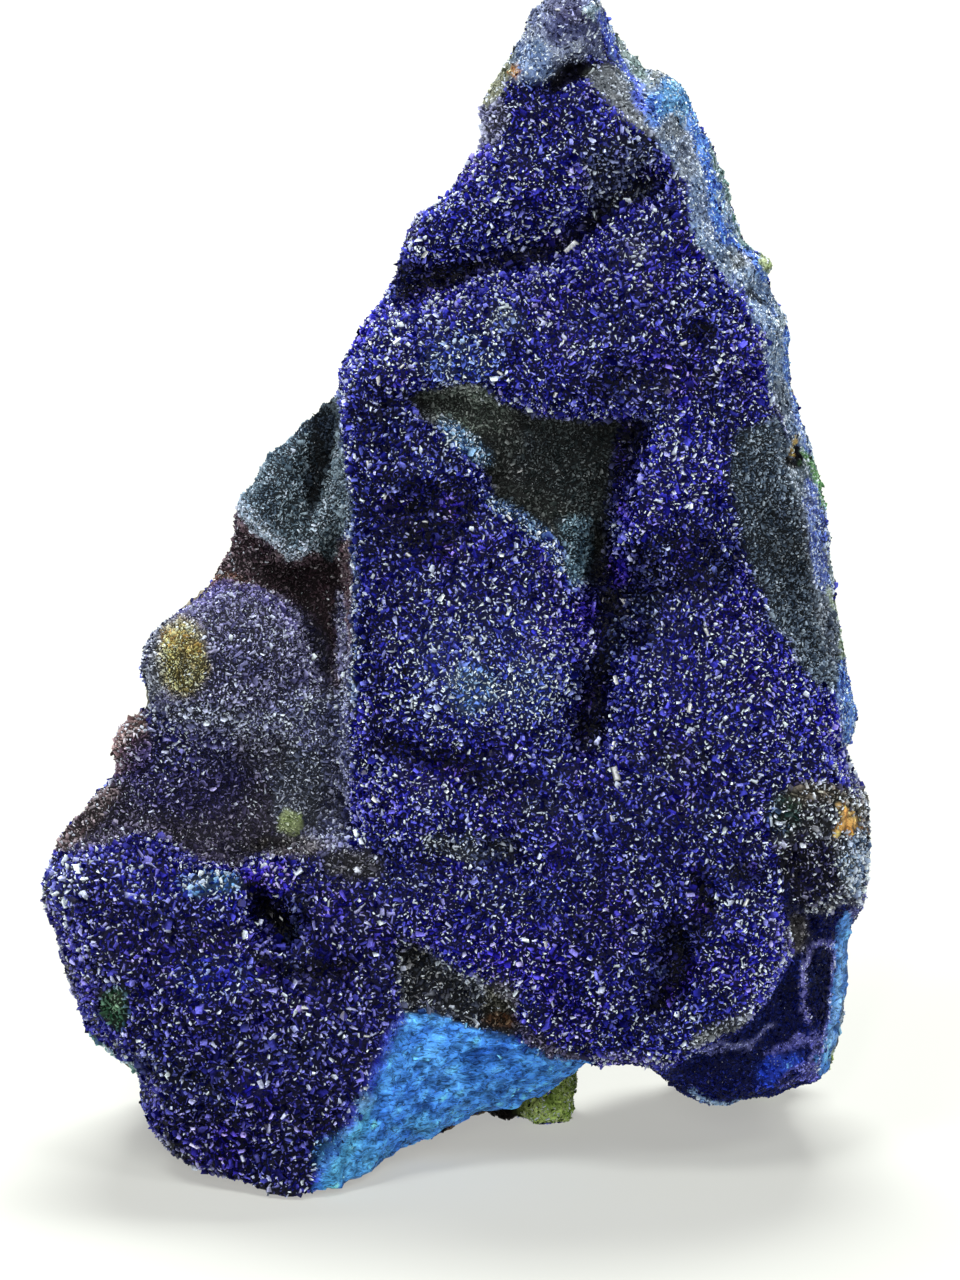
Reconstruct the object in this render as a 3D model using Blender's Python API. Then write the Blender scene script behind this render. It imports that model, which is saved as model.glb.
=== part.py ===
"""Azurite druse on its iron-stained matrix, one natural rock that stands on its lobes.

The rock is drawn on its broad face. A face point is (across, up, back): across runs to
the right, up runs along the face, back runs away from the front into the rock. The face
frame leans back by FACE_PITCH from the vertical, and the finished rock stands on z = 0
with the middle of its bounding box over the origin. The front looks along -Y.
"""
import math
import random

import bmesh
import bpy
import numpy as np
from mathutils import Vector, noise
from mathutils.geometry import delaunay_2d_cdt

# Driving sizes, in millimetres unless a name says otherwise
STEP = 0.08                  # one step of the survey grid that all outlines are drawn on
GRID_MIDDLE = 455.0          # grid column over the origin
GRID_FOOT = 1203.0           # grid row of the foot of the left lobe, rows count downwards
FACE_PITCH = math.radians(16.0)
FACE_LEAN = math.tan(math.radians(8.0))   # the skin comes forward by this much per mm up
FACE_DEPTH = 4.0             # back distance of the face's mean skin at the foot
FOOT_DEPTH = 4.5             # back distance of the foot that touches the ground
FRONT_SPACING = 1.2          # lattice of the druse skin, about one coarse crystal
FLANK_SPACING = 0.95         # closer lattice of the flanks that fall to the rim
BACK_SPACING = 2.9           # lattice of the broken back
WALL_SPACING = 1.6           # closer lattice where the back rounds into the sides
FLANK_REACH = 2.6            # how far in from the rim the closer lattices reach
WALL_REACH = 4.6
RIM_SPACING = 1.15
BACK_DEPTH = 33.0            # depth of the matrix behind the mean skin at the foot
BACK_TAPER = 0.175           # the matrix thins by this much per mm up
BACK_ROUND = 7.5             # width over which the back rounds into the rim
UNDERSIDE_RISE = 0.045       # the underside rises by this much per mm towards the back
CRYSTAL = 0.36               # how far druse points stand in or out of the smooth skin
LUMP = 0.55                  # height of the low hummocks under the druse
TO_METRES = 0.001

# Rim of the rock, clockwise from the tip: column, row, depth behind the mean skin,
# width of the flank that falls from the skin to the rim
RIM = [
    (545, -8, 7.0, 1.3), (590, -8, 7.0, 1.3), (604, -2, 8.0, 2.0), (612, 15, 9.5, 3.2),
    (626, 42, 10.5, 4.2), (643, 61, 11.0, 4.4), (646, 70, 10.5, 4.4), (652, 66, 10.5, 4.4),
    (663, 65, 11.0, 4.4), (682, 80, 11.5, 4.4), (697, 105, 12.0, 4.2),
    (702, 120, 12.0, 4.0), (713, 138, 12.5, 3.8), (722, 160, 12.5, 3.6),
    (733, 188, 12.5, 3.5), (740, 212, 12.5, 3.5), (748, 238, 12.5, 3.5),
    (757, 249, 12.0, 3.5), (768, 252, 12.0, 3.0), (779, 264, 12.0, 3.0),
    (775, 273, 12.0, 3.0), (768, 277, 12.5, 3.0), (778, 293, 12.5, 2.8),
    (792, 316, 12.5, 2.8), (794, 345, 12.5, 2.8), (794, 375, 12.5, 2.8),
    (799, 399, 13.0, 2.8), (811, 428, 13.5, 2.8), (820, 455, 14.0, 2.8),
    (830, 500, 14.0, 2.6), (837, 534, 14.0, 2.4), (836, 562, 14.0, 2.4),
    (838, 598, 13.5, 2.2), (846, 632, 13.0, 2.0), (849, 658, 12.5, 2.2),
    (859, 688, 12.0, 2.4), (861, 712, 12.0, 2.4), (856, 736, 11.5, 2.2),
    (850, 744, 11.5, 1.8), (860, 773, 10.5, 1.8), (871, 800, 9.5, 1.8),
    (875, 840, 9.0, 1.8), (872, 880, 9.0, 1.8), (870, 906, 10.0, 1.8),
    (858, 925, 11.0, 2.0), (850, 950, 12.0, 2.2), (853, 990, 12.5, 2.2),
    (848, 1025, 12.5, 2.2), (840, 1052, 12.0, 2.0), (828, 1078, 11.5, 1.6),
    (817, 1087, 11.0, 1.4), (797, 1089, 10.5, 1.2), (780, 1100, 10.0, 1.2),
    (750, 1101, 9.5, 1.2), (732, 1110, 9.5, 1.2), (712, 1110, 9.5, 1.2),
    (690, 1103, 9.0, 1.2), (672, 1089, 8.5, 1.2), (655, 1072, 7.0, 1.0),
    (630, 1067, 6.0, 1.0), (602, 1070, 6.0, 1.0), (586, 1066, 7.5, 1.0),
    (578, 1073, 9.4, 0.8), (560, 1089, 10.8, 0.8), (538, 1100, 11.4, 0.8),
    (512, 1111, 11.8, 0.8), (480, 1118, 11.8, 0.8), (455, 1128, 11.2, 0.8),
    (430, 1144, 10.2, 0.8), (408, 1147, 9.4, 0.8), (388, 1165, 7.4, 0.8),
    (368, 1182, 4.6, 0.8), (345, 1188, 3.2, 0.8), (318, 1199, 1.8, 0.8),
    (308, 1213, 1.2, 1.4), (280, 1212, 1.2, 1.6), (262, 1197, 1.8, 1.8),
    (230, 1188, 3.2, 2.0), (196, 1174, 4.6, 2.2), (165, 1155, 5.6, 2.4),
    (146, 1130, 6.4, 2.4), (137, 1102, 7.0, 2.4), (137, 1082, 7.4, 2.2),
    (130, 1069, 8.0, 1.6), (113, 1063, 8.0, 1.4), (103, 1050, 8.0, 1.4),
    (90, 1043, 8.0, 1.6), (80, 1022, 8.0, 2.2), (68, 993, 8.0, 2.4),
    (57, 952, 8.0, 2.4), (49, 922, 8.0, 2.4), (38, 900, 8.0, 2.4),
    (38, 878, 8.0, 2.4), (52, 850, 8.2, 2.2), (54, 838, 8.6, 1.8),
    (68, 820, 9.0, 1.6), (88, 800, 9.4, 1.4), (105, 785, 9.8, 1.2),
    (112, 768, 9.8, 1.2), (108, 748, 9.4, 1.2), (116, 725, 9.4, 1.2),
    (132, 713, 9.8, 1.2), (149, 708, 10.4, 1.2), (144, 686, 10.2, 1.4),
    (136, 668, 9.8, 1.6), (140, 648, 9.8, 1.6), (157, 621, 10.0, 1.6),
    (180, 607, 10.4, 1.4), (204, 594, 11.0, 1.2), (210, 571, 12.0, 1.0),
    (224, 548, 12.4, 1.0), (230, 528, 12.4, 1.0), (229, 514, 12.0, 1.0),
    (237, 493, 11.2, 1.2), (247, 487, 10.8, 1.2), (257, 466, 10.8, 1.2),
    (270, 447, 10.8, 1.2), (288, 436, 10.8, 1.2), (300, 420, 10.8, 1.2),
    (317, 403, 10.4, 1.2), (337, 391, 9.6, 1.2), (335, 372, 8.6, 1.4),
    (346, 350, 8.4, 1.6), (360, 321, 8.4, 1.6), (378, 301, 9.0, 1.4),
    (391, 276, 9.4, 1.4), (396, 250, 8.8, 1.6), (408, 221, 8.6, 1.6),
    (420, 208, 8.6, 1.6), (434, 203, 8.6, 1.6), (452, 181, 8.4, 1.6),
    (464, 160, 8.2, 1.6), (480, 144, 8.2, 1.4), (476, 120, 8.6, 1.6),
    (481, 98, 8.6, 1.6), (499, 65, 8.4, 1.6), (519, 39, 8.0, 1.4),
    (527, 17, 7.6, 1.3), (538, 0, 7.0, 1.3),
]

# Level of the proud druse skin behind the mean skin: column, row, depth. The steps,
# pockets and knobs further down are cut into it or raised on it
LEVELS = [
    (565, 5, 4.0), (600, 50, 4.2), (515, 90, 4.6), (560, 120, 3.4), (490, 175, 4.4),
    (640, 150, 4.0), (700, 190, 6.6), (600, 190, 3.6), (440, 240, 4.6), (530, 230, 3.8),
    (390, 330, 3.8), (470, 335, 2.0), (560, 320, 1.5), (650, 300, 1.6), (730, 320, 3.4),
    (775, 360, 5.6), (370, 400, 3.0), (400, 480, 1.7), (450, 560, 0.6), (480, 650, 0.0),
    (400, 650, 0.8), (365, 560, 2.2), (360, 720, 1.8), (540, 700, 0.9), (450, 760, 0.5),
    (560, 480, 1.6), (660, 430, 1.9), (690, 520, 1.7), (760, 470, 4.6), (800, 560, 6.4),
    (825, 640, 7.4), (690, 610, 1.1), (760, 650, 2.4), (660, 720, 0.6), (740, 740, 0.4),
    (820, 710, 2.4), (840, 760, 4.2), (600, 820, 0.9), (690, 840, 0.0), (760, 850, 0.9),
    (830, 850, 2.6), (500, 840, 1.6), (400, 830, 2.0), (440, 900, 1.3), (540, 920, 0.8),
    (640, 930, 0.4), (730, 960, 0.7), (600, 1030, 2.4), (520, 1000, 2.6), (700, 1060, 2.6),
    (790, 980, 3.0), (200, 950, -0.7), (110, 920, 1.2), (70, 880, 3.0), (70, 960, 3.2),
    (300, 960, 0.2), (140, 1030, 1.2), (230, 1050, -0.4), (320, 1060, 0.6),
    (200, 1130, 1.4), (290, 1140, 0.5), (380, 1000, 1.8), (200, 700, 2.6),
    (130, 760, 3.6), (90, 830, 4.6), (230, 800, 4.2), (310, 800, 4.4), (300, 620, 4.4),
    (260, 520, 4.4), (320, 450, 4.4), (300, 720, 3.0),
]

# Places cut below that skin or raised above it: outline, offset, softness of its edge
OLIVE_HOLLOW = [
    (404, 398), (440, 388), (478, 392), (520, 404), (575, 414), (645, 414), (655, 430),
    (640, 470), (618, 500), (610, 560), (600, 590), (580, 582), (556, 548), (520, 515),
    (495, 500), (478, 470), (455, 430), (425, 415),
]
LEFT_RECESS = [
    (336, 380), (338, 440), (344, 500), (350, 560), (346, 640), (346, 760), (352, 836),
    (300, 846), (262, 858), (230, 872), (190, 860), (165, 842), (130, 836), (95, 850),
    (46, 850), (20, 820), (80, 690), (110, 600), (180, 520), (250, 400), (310, 370),
]
BROWN_RECESS = [
    (190, 560), (215, 520), (236, 512), (262, 540), (290, 560), (312, 552), (334, 520),
    (348, 560), (346, 640), (336, 672), (318, 680), (306, 664), (296, 630), (280, 604),
    (250, 588), (220, 584), (196, 594),
]
DARK_NOTCH = [(306, 416), (334, 398), (340, 440), (326, 484), (312, 524), (304, 480)]
FRACTURE = [
    (404, 1016), (432, 1012), (470, 1026), (516, 1038), (548, 1056), (590, 1064),
    (560, 1110), (440, 1170), (370, 1205), (312, 1212), (318, 1180), (345, 1132),
    (366, 1100), (380, 1060),
]
FRACTURE_LEVELS = [
    (404, 1016, 3.8), (470, 1026, 4.4), (548, 1056, 5.6), (590, 1064, 6.6),
    (345, 1132, 1.8), (380, 1060, 2.6), (318, 1190, 1.2), (368, 1178, 3.6),
    (408, 1140, 6.4), (480, 1110, 8.4), (560, 1086, 8.2), (450, 1080, 5.9),
    (400, 1100, 4.4), (520, 1078, 7.0),
]
GREY_POCKET = [
    (400, 940), (430, 950), (452, 966), (480, 980), (502, 996), (520, 1022),
    (510, 1040), (470, 1028), (432, 1014), (404, 1018), (398, 980),
]
TERRACE = [
    (784, 892), (806, 912), (836, 906), (880, 916), (880, 1060), (830, 1120),
    (680, 1120), (664, 1078), (700, 1052), (742, 1030), (770, 1008), (792, 962),
]
TIP_CAP = [
    (520, -20), (620, -20), (600, 20), (606, 58), (584, 60), (558, 72), (540, 84),
    (516, 82), (500, 60),
]
TIP_CAVE = [(540, 96), (548, 78), (566, 64), (588, 62), (598, 70), (580, 80), (560, 84)]
DARK_PIT = [(242, 894), (262, 890), (284, 912), (300, 930), (288, 944), (262, 934)]
BLACK_HOLE = [(783, 444), (800, 440), (801, 462), (784, 464)]
AREAS = [
    (OLIVE_HOLLOW, 3.6, 0.8), (LEFT_RECESS, 4.2, 0.7), (BROWN_RECESS, 2.6, 0.5),
    (DARK_NOTCH, 2.2, 0.6), (GREY_POCKET, 2.8, 0.6), (TERRACE, 4.2, 0.6),
    (TIP_CAP, -1.0, 0.5), (TIP_CAVE, 4.4, 0.5), (DARK_PIT, 3.2, 0.7),
    (BLACK_HOLE, 3.4, 0.5),
]

# Furrows and ridges along lines: points, offset in the middle, half width
FURROWS = [
    ([(392, 292), (450, 279), (520, 262), (562, 244), (616, 202), (655, 184)], 3.4, 1.5),
    ([(430, 262), (520, 248), (580, 226)], 1.6, 2.6),
    ([(606, 545), (612, 600), (602, 660), (588, 735)], 3.8, 2.2),
    ([(612, 600), (650, 585), (690, 590)], 1.4, 1.8),
    ([(390, 868), (430, 862), (480, 850), (520, 852)], 1.0, 1.6),
    ([(372, 745), (440, 752), (500, 740)], 0.8, 2.0),
    ([(348, 700), (349, 800)], 0.9, 1.6),
    ([(676, 940), (684, 970), (664, 1002)], 2.2, 1.3),
    ([(700, 880), (716, 905)], 1.2, 1.4),
    ([(690, 330), (702, 345)], 1.4, 1.2),
    ([(790, 880), (800, 872), (812, 884)], 1.8, 1.3),
    ([(104, 1030), (116, 1002), (124, 1018)], 1.0, 0.9),
    ([(460, 500), (440, 520), (400, 510)], 0.9, 2.0),
    ([(300, 985), (360, 972)], 1.0, 1.8),
    ([(640, 590), (700, 560), (740, 545)], 0.7, 2.4),
    ([(236, 498), (262, 530), (290, 553), (312, 545), (326, 505), (334, 470)], -1.3, 0.8),
    ([(196, 596), (222, 585), (252, 587), (282, 606), (298, 632)], -1.0, 0.9),
    ([(840, 944), (812, 960), (806, 985), (806, 1010), (812, 1040)], -1.3, 0.7),
    ([(712, 1080), (760, 1060), (800, 1040), (830, 1032)], -0.9, 0.7),
    ([(700, 1052), (736, 1046), (770, 1046)], -0.8, 0.6),
    ([(740, 1098), (780, 1084), (820, 1062)], -1.4, 1.0),
    ([(602, 20), (614, 52), (636, 92), (646, 116)], -0.9, 0.8),
    ([(660, 132), (690, 196), (700, 240), (724, 274)], -0.6, 0.9),
    ([(620, 210), (664, 196), (690, 205)], -1.0, 1.4),
    ([(640, 425), (652, 470), (668, 520)], -0.7, 1.3),
]

# Rounded knobs: column, row, height, half width, half height in grid steps
KNOBS = [
    (232, 668, 4.0, 92, 86), (176, 660, 1.3, 40, 40), (126, 742, 2.2, 26, 30),
    (270, 872, 1.5, 32, 18), (470, 690, 0.9, 60, 70), (400, 640, 0.6, 36, 60),
    (520, 620, 0.6, 40, 30), (700, 690, 0.7, 46, 34), (780, 720, 0.9, 40, 30),
    (640, 840, 0.6, 44, 40), (740, 900, 0.8, 34, 44), (690, 1030, 0.8, 40, 26),
    (560, 870, 0.8, 44, 36), (460, 905, 0.8, 36, 30), (120, 890, 0.9, 46, 36),
    (200, 900, 0.8, 34, 26), (90, 950, 0.6, 24, 40), (180, 1000, 0.9, 44, 36),
    (260, 1000, 0.8, 36, 34), (240, 1090, 1.0, 48, 34), (330, 1010, 0.7, 30, 40),
    (320, 920, 0.8, 30, 26), (170, 1080, 0.7, 30, 34), (330, 830, 1.2, 22, 16),
    (286, 818, 0.8, 16, 16), (270, 480, 1.0, 34, 40), (664, 76, 1.6, 16, 14),
    (672, 105, 1.0, 22, 20), (768, 265, 1.4, 10, 10), (470, 360, 0.7, 40, 24),
    (540, 340, 0.8, 40, 30), (640, 340, 0.7, 34, 30), (720, 360, 0.8, 30, 36),
    (500, 180, 0.8, 36, 30), (560, 160, 0.7, 34, 34), (470, 225, 0.8, 34, 22),
    (690, 450, 0.8, 30, 34), (720, 600, 0.6, 34, 30), (150, 800, 0.8, 30, 18),
    (850, 700, 0.8, 16, 26), (560, 20, 0.7, 18, 14), (600, 1000, 0.8, 40, 34),
    (560, 970, 0.6, 30, 26), (810, 820, 0.6, 30, 26), (410, 480, 0.8, 40, 30),
]

# Feet that carry the rock behind the left lobe: name, column, up, back, half sizes
FEET = [
    ("green_foot", 548, 9.2, 26.6, (2.6, 4.9, 3.8)),
    ("dark_foot", 512, 9.6, 27.6, (2.8, 4.8, 3.6)),
    ("left_heel", 226, 13.0, 29.0, (7.4, 7.2, 5.0)),
    ("right_heel", 735, 14.0, 32.8, (7.0, 7.0, 4.2)),
]

# Bulges and hollows of the back: column, row, offset away from the front, half width
BACK_LUMPS = [
    (225, 1040, 3.0, 12.0), (730, 1010, 4.2, 12.0), (480, 900, -2.6, 10.0),
    (560, 640, 3.0, 13.0), (420, 700, -2.0, 9.0), (700, 760, -2.0, 9.0),
    (600, 330, -2.2, 11.0), (500, 480, 1.8, 9.0), (560, 120, -1.6, 8.0),
    (300, 820, 1.6, 8.0), (640, 520, -1.2, 6.0),
]

PITCH_SIN = math.sin(FACE_PITCH)
PITCH_COS = math.cos(FACE_PITCH)
GROUND = FOOT_DEPTH * PITCH_SIN


def on_grid(column, row):
    """Across and up in millimetres of a survey grid position."""
    return (column - GRID_MIDDLE) * STEP, (GRID_FOOT - row) * STEP


def grid_line(points):
    return np.array([on_grid(point[0], point[1]) for point in points])


def mean_skin(up):
    return FACE_DEPTH - FACE_LEAN * up


def nearest_on_line(places, line, closed):
    """Distance to a line, the segment that is nearest and how far along it."""
    ends = np.roll(line, -1, axis=0) if closed else line[1:]
    starts = line if closed else line[:-1]
    best = np.full(len(places), 1e9)
    which = np.zeros(len(places), dtype=int)
    along = np.zeros(len(places))
    for index, (start, end) in enumerate(zip(starts, ends)):
        run = end - start
        share = ((places - start) @ run) / max(float(run @ run), 1e-9)
        share = np.clip(share, 0.0, 1.0)
        gap = places - (start + share[:, None] * run)
        distance = np.hypot(gap[:, 0], gap[:, 1])
        nearer = distance < best
        best = np.where(nearer, distance, best)
        which = np.where(nearer, index, which)
        along = np.where(nearer, share, along)
    return best, which, along


def inside_outline(places, outline):
    """True for the places inside a closed outline, by counting crossings."""
    within = np.zeros(len(places), dtype=bool)
    across, up = places[:, 0], places[:, 1]
    for (x0, y0), (x1, y1) in zip(outline, np.roll(outline, -1, axis=0)):
        if y0 == y1:
            continue
        spans = (y0 > up) != (y1 > up)
        crossing = x0 + (up - y0) * (x1 - x0) / (y1 - y0)
        within ^= spans & (across < crossing)
    return within


def soft_area(places, outline, softness):
    """One inside the outline and zero outside, with an edge of the given softness."""
    distance, which, along = nearest_on_line(places, outline, True)
    signed = np.where(inside_outline(places, outline), distance, -distance)
    share = np.clip(0.5 + 0.5 * signed / softness, 0.0, 1.0)
    return share * share * (3.0 - 2.0 * share)


def thin_plate(places, spots):
    """Smooth surface through the level spots."""
    centres = grid_line(spots)
    heights = np.array([spot[2] for spot in spots])
    count = len(centres)

    def kernel(a, b):
        square = ((a[:, None, :] - b[None, :, :]) ** 2).sum(axis=2)
        return square * np.log(np.sqrt(square) + 1e-9)

    system = np.zeros((count + 3, count + 3))
    system[:count, :count] = kernel(centres, centres) + 2.0 * np.eye(count)
    system[:count, count] = 1.0
    system[:count, count + 1:] = centres
    system[count, :count] = 1.0
    system[count + 1:, :count] = centres.T
    weights = np.linalg.solve(system, np.concatenate([heights, np.zeros(3)]))
    bent = kernel(places, centres) @ weights[:count]
    return bent + weights[count] + places @ weights[count + 1:]


def hummocks(places, size, seed):
    """Smooth noise between about -1 and 1 with hummocks of the given size."""
    return np.array([
        2.0 * noise.noise(Vector((x / size, y / size, seed))) for x, y in places
    ])


def druse_relief(places):
    """Depth of the front behind the mean skin, before it falls to the rim."""
    depth = thin_plate(places, LEVELS)
    for outline, offset, softness in AREAS:
        depth += offset * soft_area(places, grid_line(outline), softness)
    for points, offset, half_width in FURROWS:
        distance, which, along = nearest_on_line(places, grid_line(points), False)
        depth += offset * np.exp(-(distance / half_width) ** 2)
    for column, row, height, half_wide, half_high in KNOBS:
        centre = on_grid(column, row)
        square = ((places[:, 0] - centre[0]) / (half_wide * STEP)) ** 2
        square += ((places[:, 1] - centre[1]) / (half_high * STEP)) ** 2
        depth -= height * np.clip(1.0 - square, 0.0, 1.0) ** 0.8
    depth += LUMP * hummocks(places, 5.5, 3.0)
    depth += 0.6 * LUMP * hummocks(places, 2.6, 7.0)
    broken = soft_area(places, grid_line(FRACTURE), 0.5)
    face = thin_plate(places, FRACTURE_LEVELS) + 0.25 * hummocks(places, 6.0, 11.0)
    return depth * (1.0 - broken) + face * broken


def rim_values(places, rim):
    """Distance to the rim, and its depth and flank width at the nearest place."""
    line = grid_line(rim)
    depths = np.array([point[2] for point in rim])
    flanks = np.array([point[3] for point in rim])
    distance, which, along = nearest_on_line(places, line, True)
    after = (which + 1) % len(rim)
    depth = depths[which] * (1.0 - along) + depths[after] * along
    flank = flanks[which] * (1.0 - along) + flanks[after] * along
    return distance, depth, flank


def rim_inward(places):
    """Unit direction from the nearest place on the rim to each place."""
    line = grid_line(RIM)
    distance, which, along = nearest_on_line(places, line, True)
    following = np.roll(line, -1, axis=0)
    foot = line[which] + (following[which] - line[which]) * along[:, None]
    return (places - foot) / np.maximum(distance, 1e-6)[:, None]


def front_depth(places):
    """Back distance of the front skin."""
    distance, rim_depth, flank = rim_values(places, RIM)
    relief = druse_relief(places)
    share = np.clip(distance / flank, 0.0, 1.0) ** 0.8
    depth = rim_depth + (relief - rim_depth) * share
    depth = np.minimum(depth, rim_depth - 0.25 * np.minimum(distance, 2.0))
    return mean_skin(places[:, 1]) + depth


def back_depth(places):
    """Back distance of the broken back, kept off the ground except at the feet."""
    distance, rim_depth, flank = rim_values(places, RIM)
    up = places[:, 1]
    body = BACK_DEPTH - BACK_TAPER * up
    for column, row, offset, half_width in BACK_LUMPS:
        centre = on_grid(column, row)
        square = (places[:, 0] - centre[0]) ** 2 + (up - centre[1]) ** 2
        body += offset * np.exp(-square / half_width ** 2)
    body += 1.8 * hummocks(places, 14.0, 21.0) + 1.1 * hummocks(places, 6.0, 33.0)
    share = np.clip(distance / BACK_ROUND, 0.0, 1.0)
    steep = np.sqrt(1.0 - (1.0 - share) ** 2)
    under = np.clip(1.6 * rim_inward(places)[:, 1], 0.0, 1.0)
    share = share ** 0.72 * (1.0 - under) + steep * under
    depth = rim_depth + (body - rim_depth) * share
    depth = np.maximum(depth, rim_depth + 0.35 * np.minimum(distance, 3.0))
    back = mean_skin(up) + depth
    clear = 0.12 + 0.3 * (1.0 + hummocks(places, 5.0, 45.0)) - UNDERSIDE_RISE * FOOT_DEPTH
    floor_limit = (up * PITCH_COS + GROUND - clear) / (PITCH_SIN + UNDERSIDE_RISE)
    lowest = mean_skin(up) + rim_depth + 0.35 * np.minimum(distance, 3.0)
    return np.maximum(np.minimum(back, floor_limit), lowest)


def to_world(across, up, back):
    """World point in metres of a face point in millimetres."""
    y = back * PITCH_COS + up * PITCH_SIN
    z = up * PITCH_COS - back * PITCH_SIN + GROUND
    return Vector((across, y, z)) * TO_METRES


def fine_rim():
    """The rim split into short pieces, with slight breaks in its line."""
    chance = random.Random(5)
    points = []
    for start, end in zip(RIM, RIM[1:] + RIM[:1]):
        length = math.hypot(end[0] - start[0], end[1] - start[1]) * STEP
        pieces = max(1, round(length / RIM_SPACING))
        for piece in range(pieces):
            share = piece / pieces
            column = start[0] + (end[0] - start[0]) * share
            row = start[1] + (end[1] - start[1]) * share
            if piece:
                column += chance.uniform(-1.6, 1.6)
                row += chance.uniform(-1.6, 1.6)
            points.append(on_grid(column, row))
    return np.array(points)


def lattice(rim, spacing, wander, seed, nearest, furthest):
    """Loose triangular lattice inside the rim, between two distances from it."""
    chance = random.Random(seed)
    low = rim.min(axis=0)
    high = rim.max(axis=0)
    rows = int((high[1] - low[1]) / (spacing * 0.866)) + 2
    columns = int((high[0] - low[0]) / spacing) + 2
    places = []
    for row in range(rows):
        for column in range(columns):
            x = low[0] + (column + 0.5 * (row % 2)) * spacing
            y = low[1] + row * spacing * 0.866
            x += chance.uniform(-wander, wander) * spacing
            y += chance.uniform(-wander, wander) * spacing
            places.append((x, y))
    places = np.array(places)
    distance, which, along = nearest_on_line(places, rim, True)
    keep = inside_outline(places, rim) & (distance > nearest) & (distance <= furthest)
    return places[keep]


def filled(rim, inner):
    """Triangles that fill the rim through the inner places, rim points first."""
    points = [Vector(place) for place in rim] + [Vector(place) for place in inner]
    loop = list(range(len(rim)))
    result = delaunay_2d_cdt(points, [], [loop], 1, 1e-6)
    places, faces, sources = result[0], result[2], result[3]
    origin = [source[0] for source in sources]
    return [[origin[corner] for corner in face] for face in faces], len(places)


def crystal_offsets(places, seed):
    """How far each front place stands out of or into the smooth skin."""
    chance = np.random.RandomState(seed)
    size = np.full(len(places), CRYSTAL)
    calm = soft_area(places, grid_line(FRACTURE), 0.6)
    size *= 1.0 - 0.8 * calm
    size *= 1.0 - 0.35 * soft_area(places, grid_line(LEFT_RECESS), 0.6)
    size *= 1.0 - 0.3 * soft_area(places, grid_line(OLIVE_HOLLOW), 0.6)
    size *= 1.0 - 0.3 * soft_area(places, grid_line(TERRACE), 0.6)
    distance, rim_depth, flank = rim_values(places, RIM)
    size *= 0.45 + 0.55 * np.clip(distance / flank, 0.0, 1.0)
    size = np.minimum(size, 0.2 * distance)
    return size * chance.uniform(-1.0, 1.0, len(places))


def pulled_in(places, depths):
    """Back places moved a little inwards, unevenly with depth, so the sides are broken."""
    distance, rim_depth, flank = rim_values(places, RIM)
    inward = rim_inward(places)
    moved = []
    for place, way, depth, room in zip(places, inward, depths, distance):
        rough = noise.noise(Vector((place[0] / 7.0, place[1] / 7.0, depth / 6.0)))
        rough += 0.6 * noise.noise(Vector((place[0] / 3.0, place[1] / 3.0, depth / 3.0)))
        shift = max(0.0, 0.3 + 1.6 * rough) * min(1.0, 2.0 / max(room, 0.1))
        moved.append(place + way * shift)
    return np.array(moved)


def body_mesh():
    """Front sheet and back sheet that meet at the rim, as one closed bmesh."""
    rim = fine_rim()
    front = np.concatenate([
        lattice(rim, FLANK_SPACING, 0.25, 10, 0.5, FLANK_REACH),
        lattice(rim, FRONT_SPACING, 0.27, 11, FLANK_REACH + 0.35, 1000.0),
    ])
    edge = lattice(rim, 0.9, 0.3, 14, 0.22, 0.9)
    edge = edge[rim_inward(edge)[:, 1] > 0.25]
    back = np.concatenate([
        edge,
        lattice(rim, WALL_SPACING, 0.3, 12, 0.9, WALL_REACH),
        lattice(rim, BACK_SPACING, 0.27, 13, WALL_REACH + 0.8, 1000.0),
    ])
    distance, rim_depth, flank = rim_values(rim, RIM)
    body = bmesh.new()
    rim_verts = []
    for place, depth in zip(rim, rim_depth):
        rim_verts.append(body.verts.new(to_world(place[0], place[1], mean_skin(place[1]) + depth)))
    front_back = front_depth(front) + crystal_offsets(front, 8)
    front_verts = [
        body.verts.new(to_world(place[0], place[1], depth))
        for place, depth in zip(front, front_back)
    ]
    chance = np.random.RandomState(9)
    uneven = np.minimum(0.3, 0.25 * rim_values(back, RIM)[0])
    back_back = back_depth(back) + uneven * chance.uniform(-1.0, 1.0, len(back))
    pulled = pulled_in(back, back_back)
    back_verts = [
        body.verts.new(to_world(place[0], place[1], depth))
        for place, depth in zip(pulled, back_back)
    ]
    for inner, verts in ((front, front_verts), (back, back_verts)):
        faces, count = filled(rim, inner)
        corners = rim_verts + verts
        for face in faces:
            body.faces.new([corners[corner] for corner in face])
    bmesh.ops.recalc_face_normals(body, faces=body.faces)
    return body


def foot_mesh(column, up, back, halves, seed):
    """A rough lump that carries the rock."""
    lump = bmesh.new()
    bmesh.ops.create_icosphere(lump, subdivisions=2, radius=1.0)
    across = on_grid(column, 0)[0]
    for vert in lump.verts:
        swell = 0.95 + 0.24 * noise.noise(vert.co * 1.7 + Vector((seed, 0.0, 0.0)))
        swell += 0.14 * noise.noise(vert.co * 4.1 + Vector((0.0, seed, 0.0)))
        blocky = Vector([math.copysign(abs(value) ** 0.8, value) for value in vert.co])
        spot = blocky * swell
        vert.co = to_world(
            across + spot.x * halves[0],
            up + spot.z * halves[1],
            back + spot.y * halves[2],
        )
    bmesh.ops.recalc_face_normals(lump, faces=lump.faces)
    return lump


def object_from(mesh_builder, name):
    mesh = bpy.data.meshes.new(name)
    mesh_builder.to_mesh(mesh)
    mesh_builder.free()
    made = bpy.data.objects.new(name, mesh)
    bpy.context.scene.collection.objects.link(made)
    return made


def boolean(target, tool, operation):
    modifier = target.modifiers.new(tool.name, "BOOLEAN")
    modifier.operation = operation
    modifier.solver = "EXACT"
    modifier.object = tool
    tool.hide_render = True
    tool.display_type = "WIRE"


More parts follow.
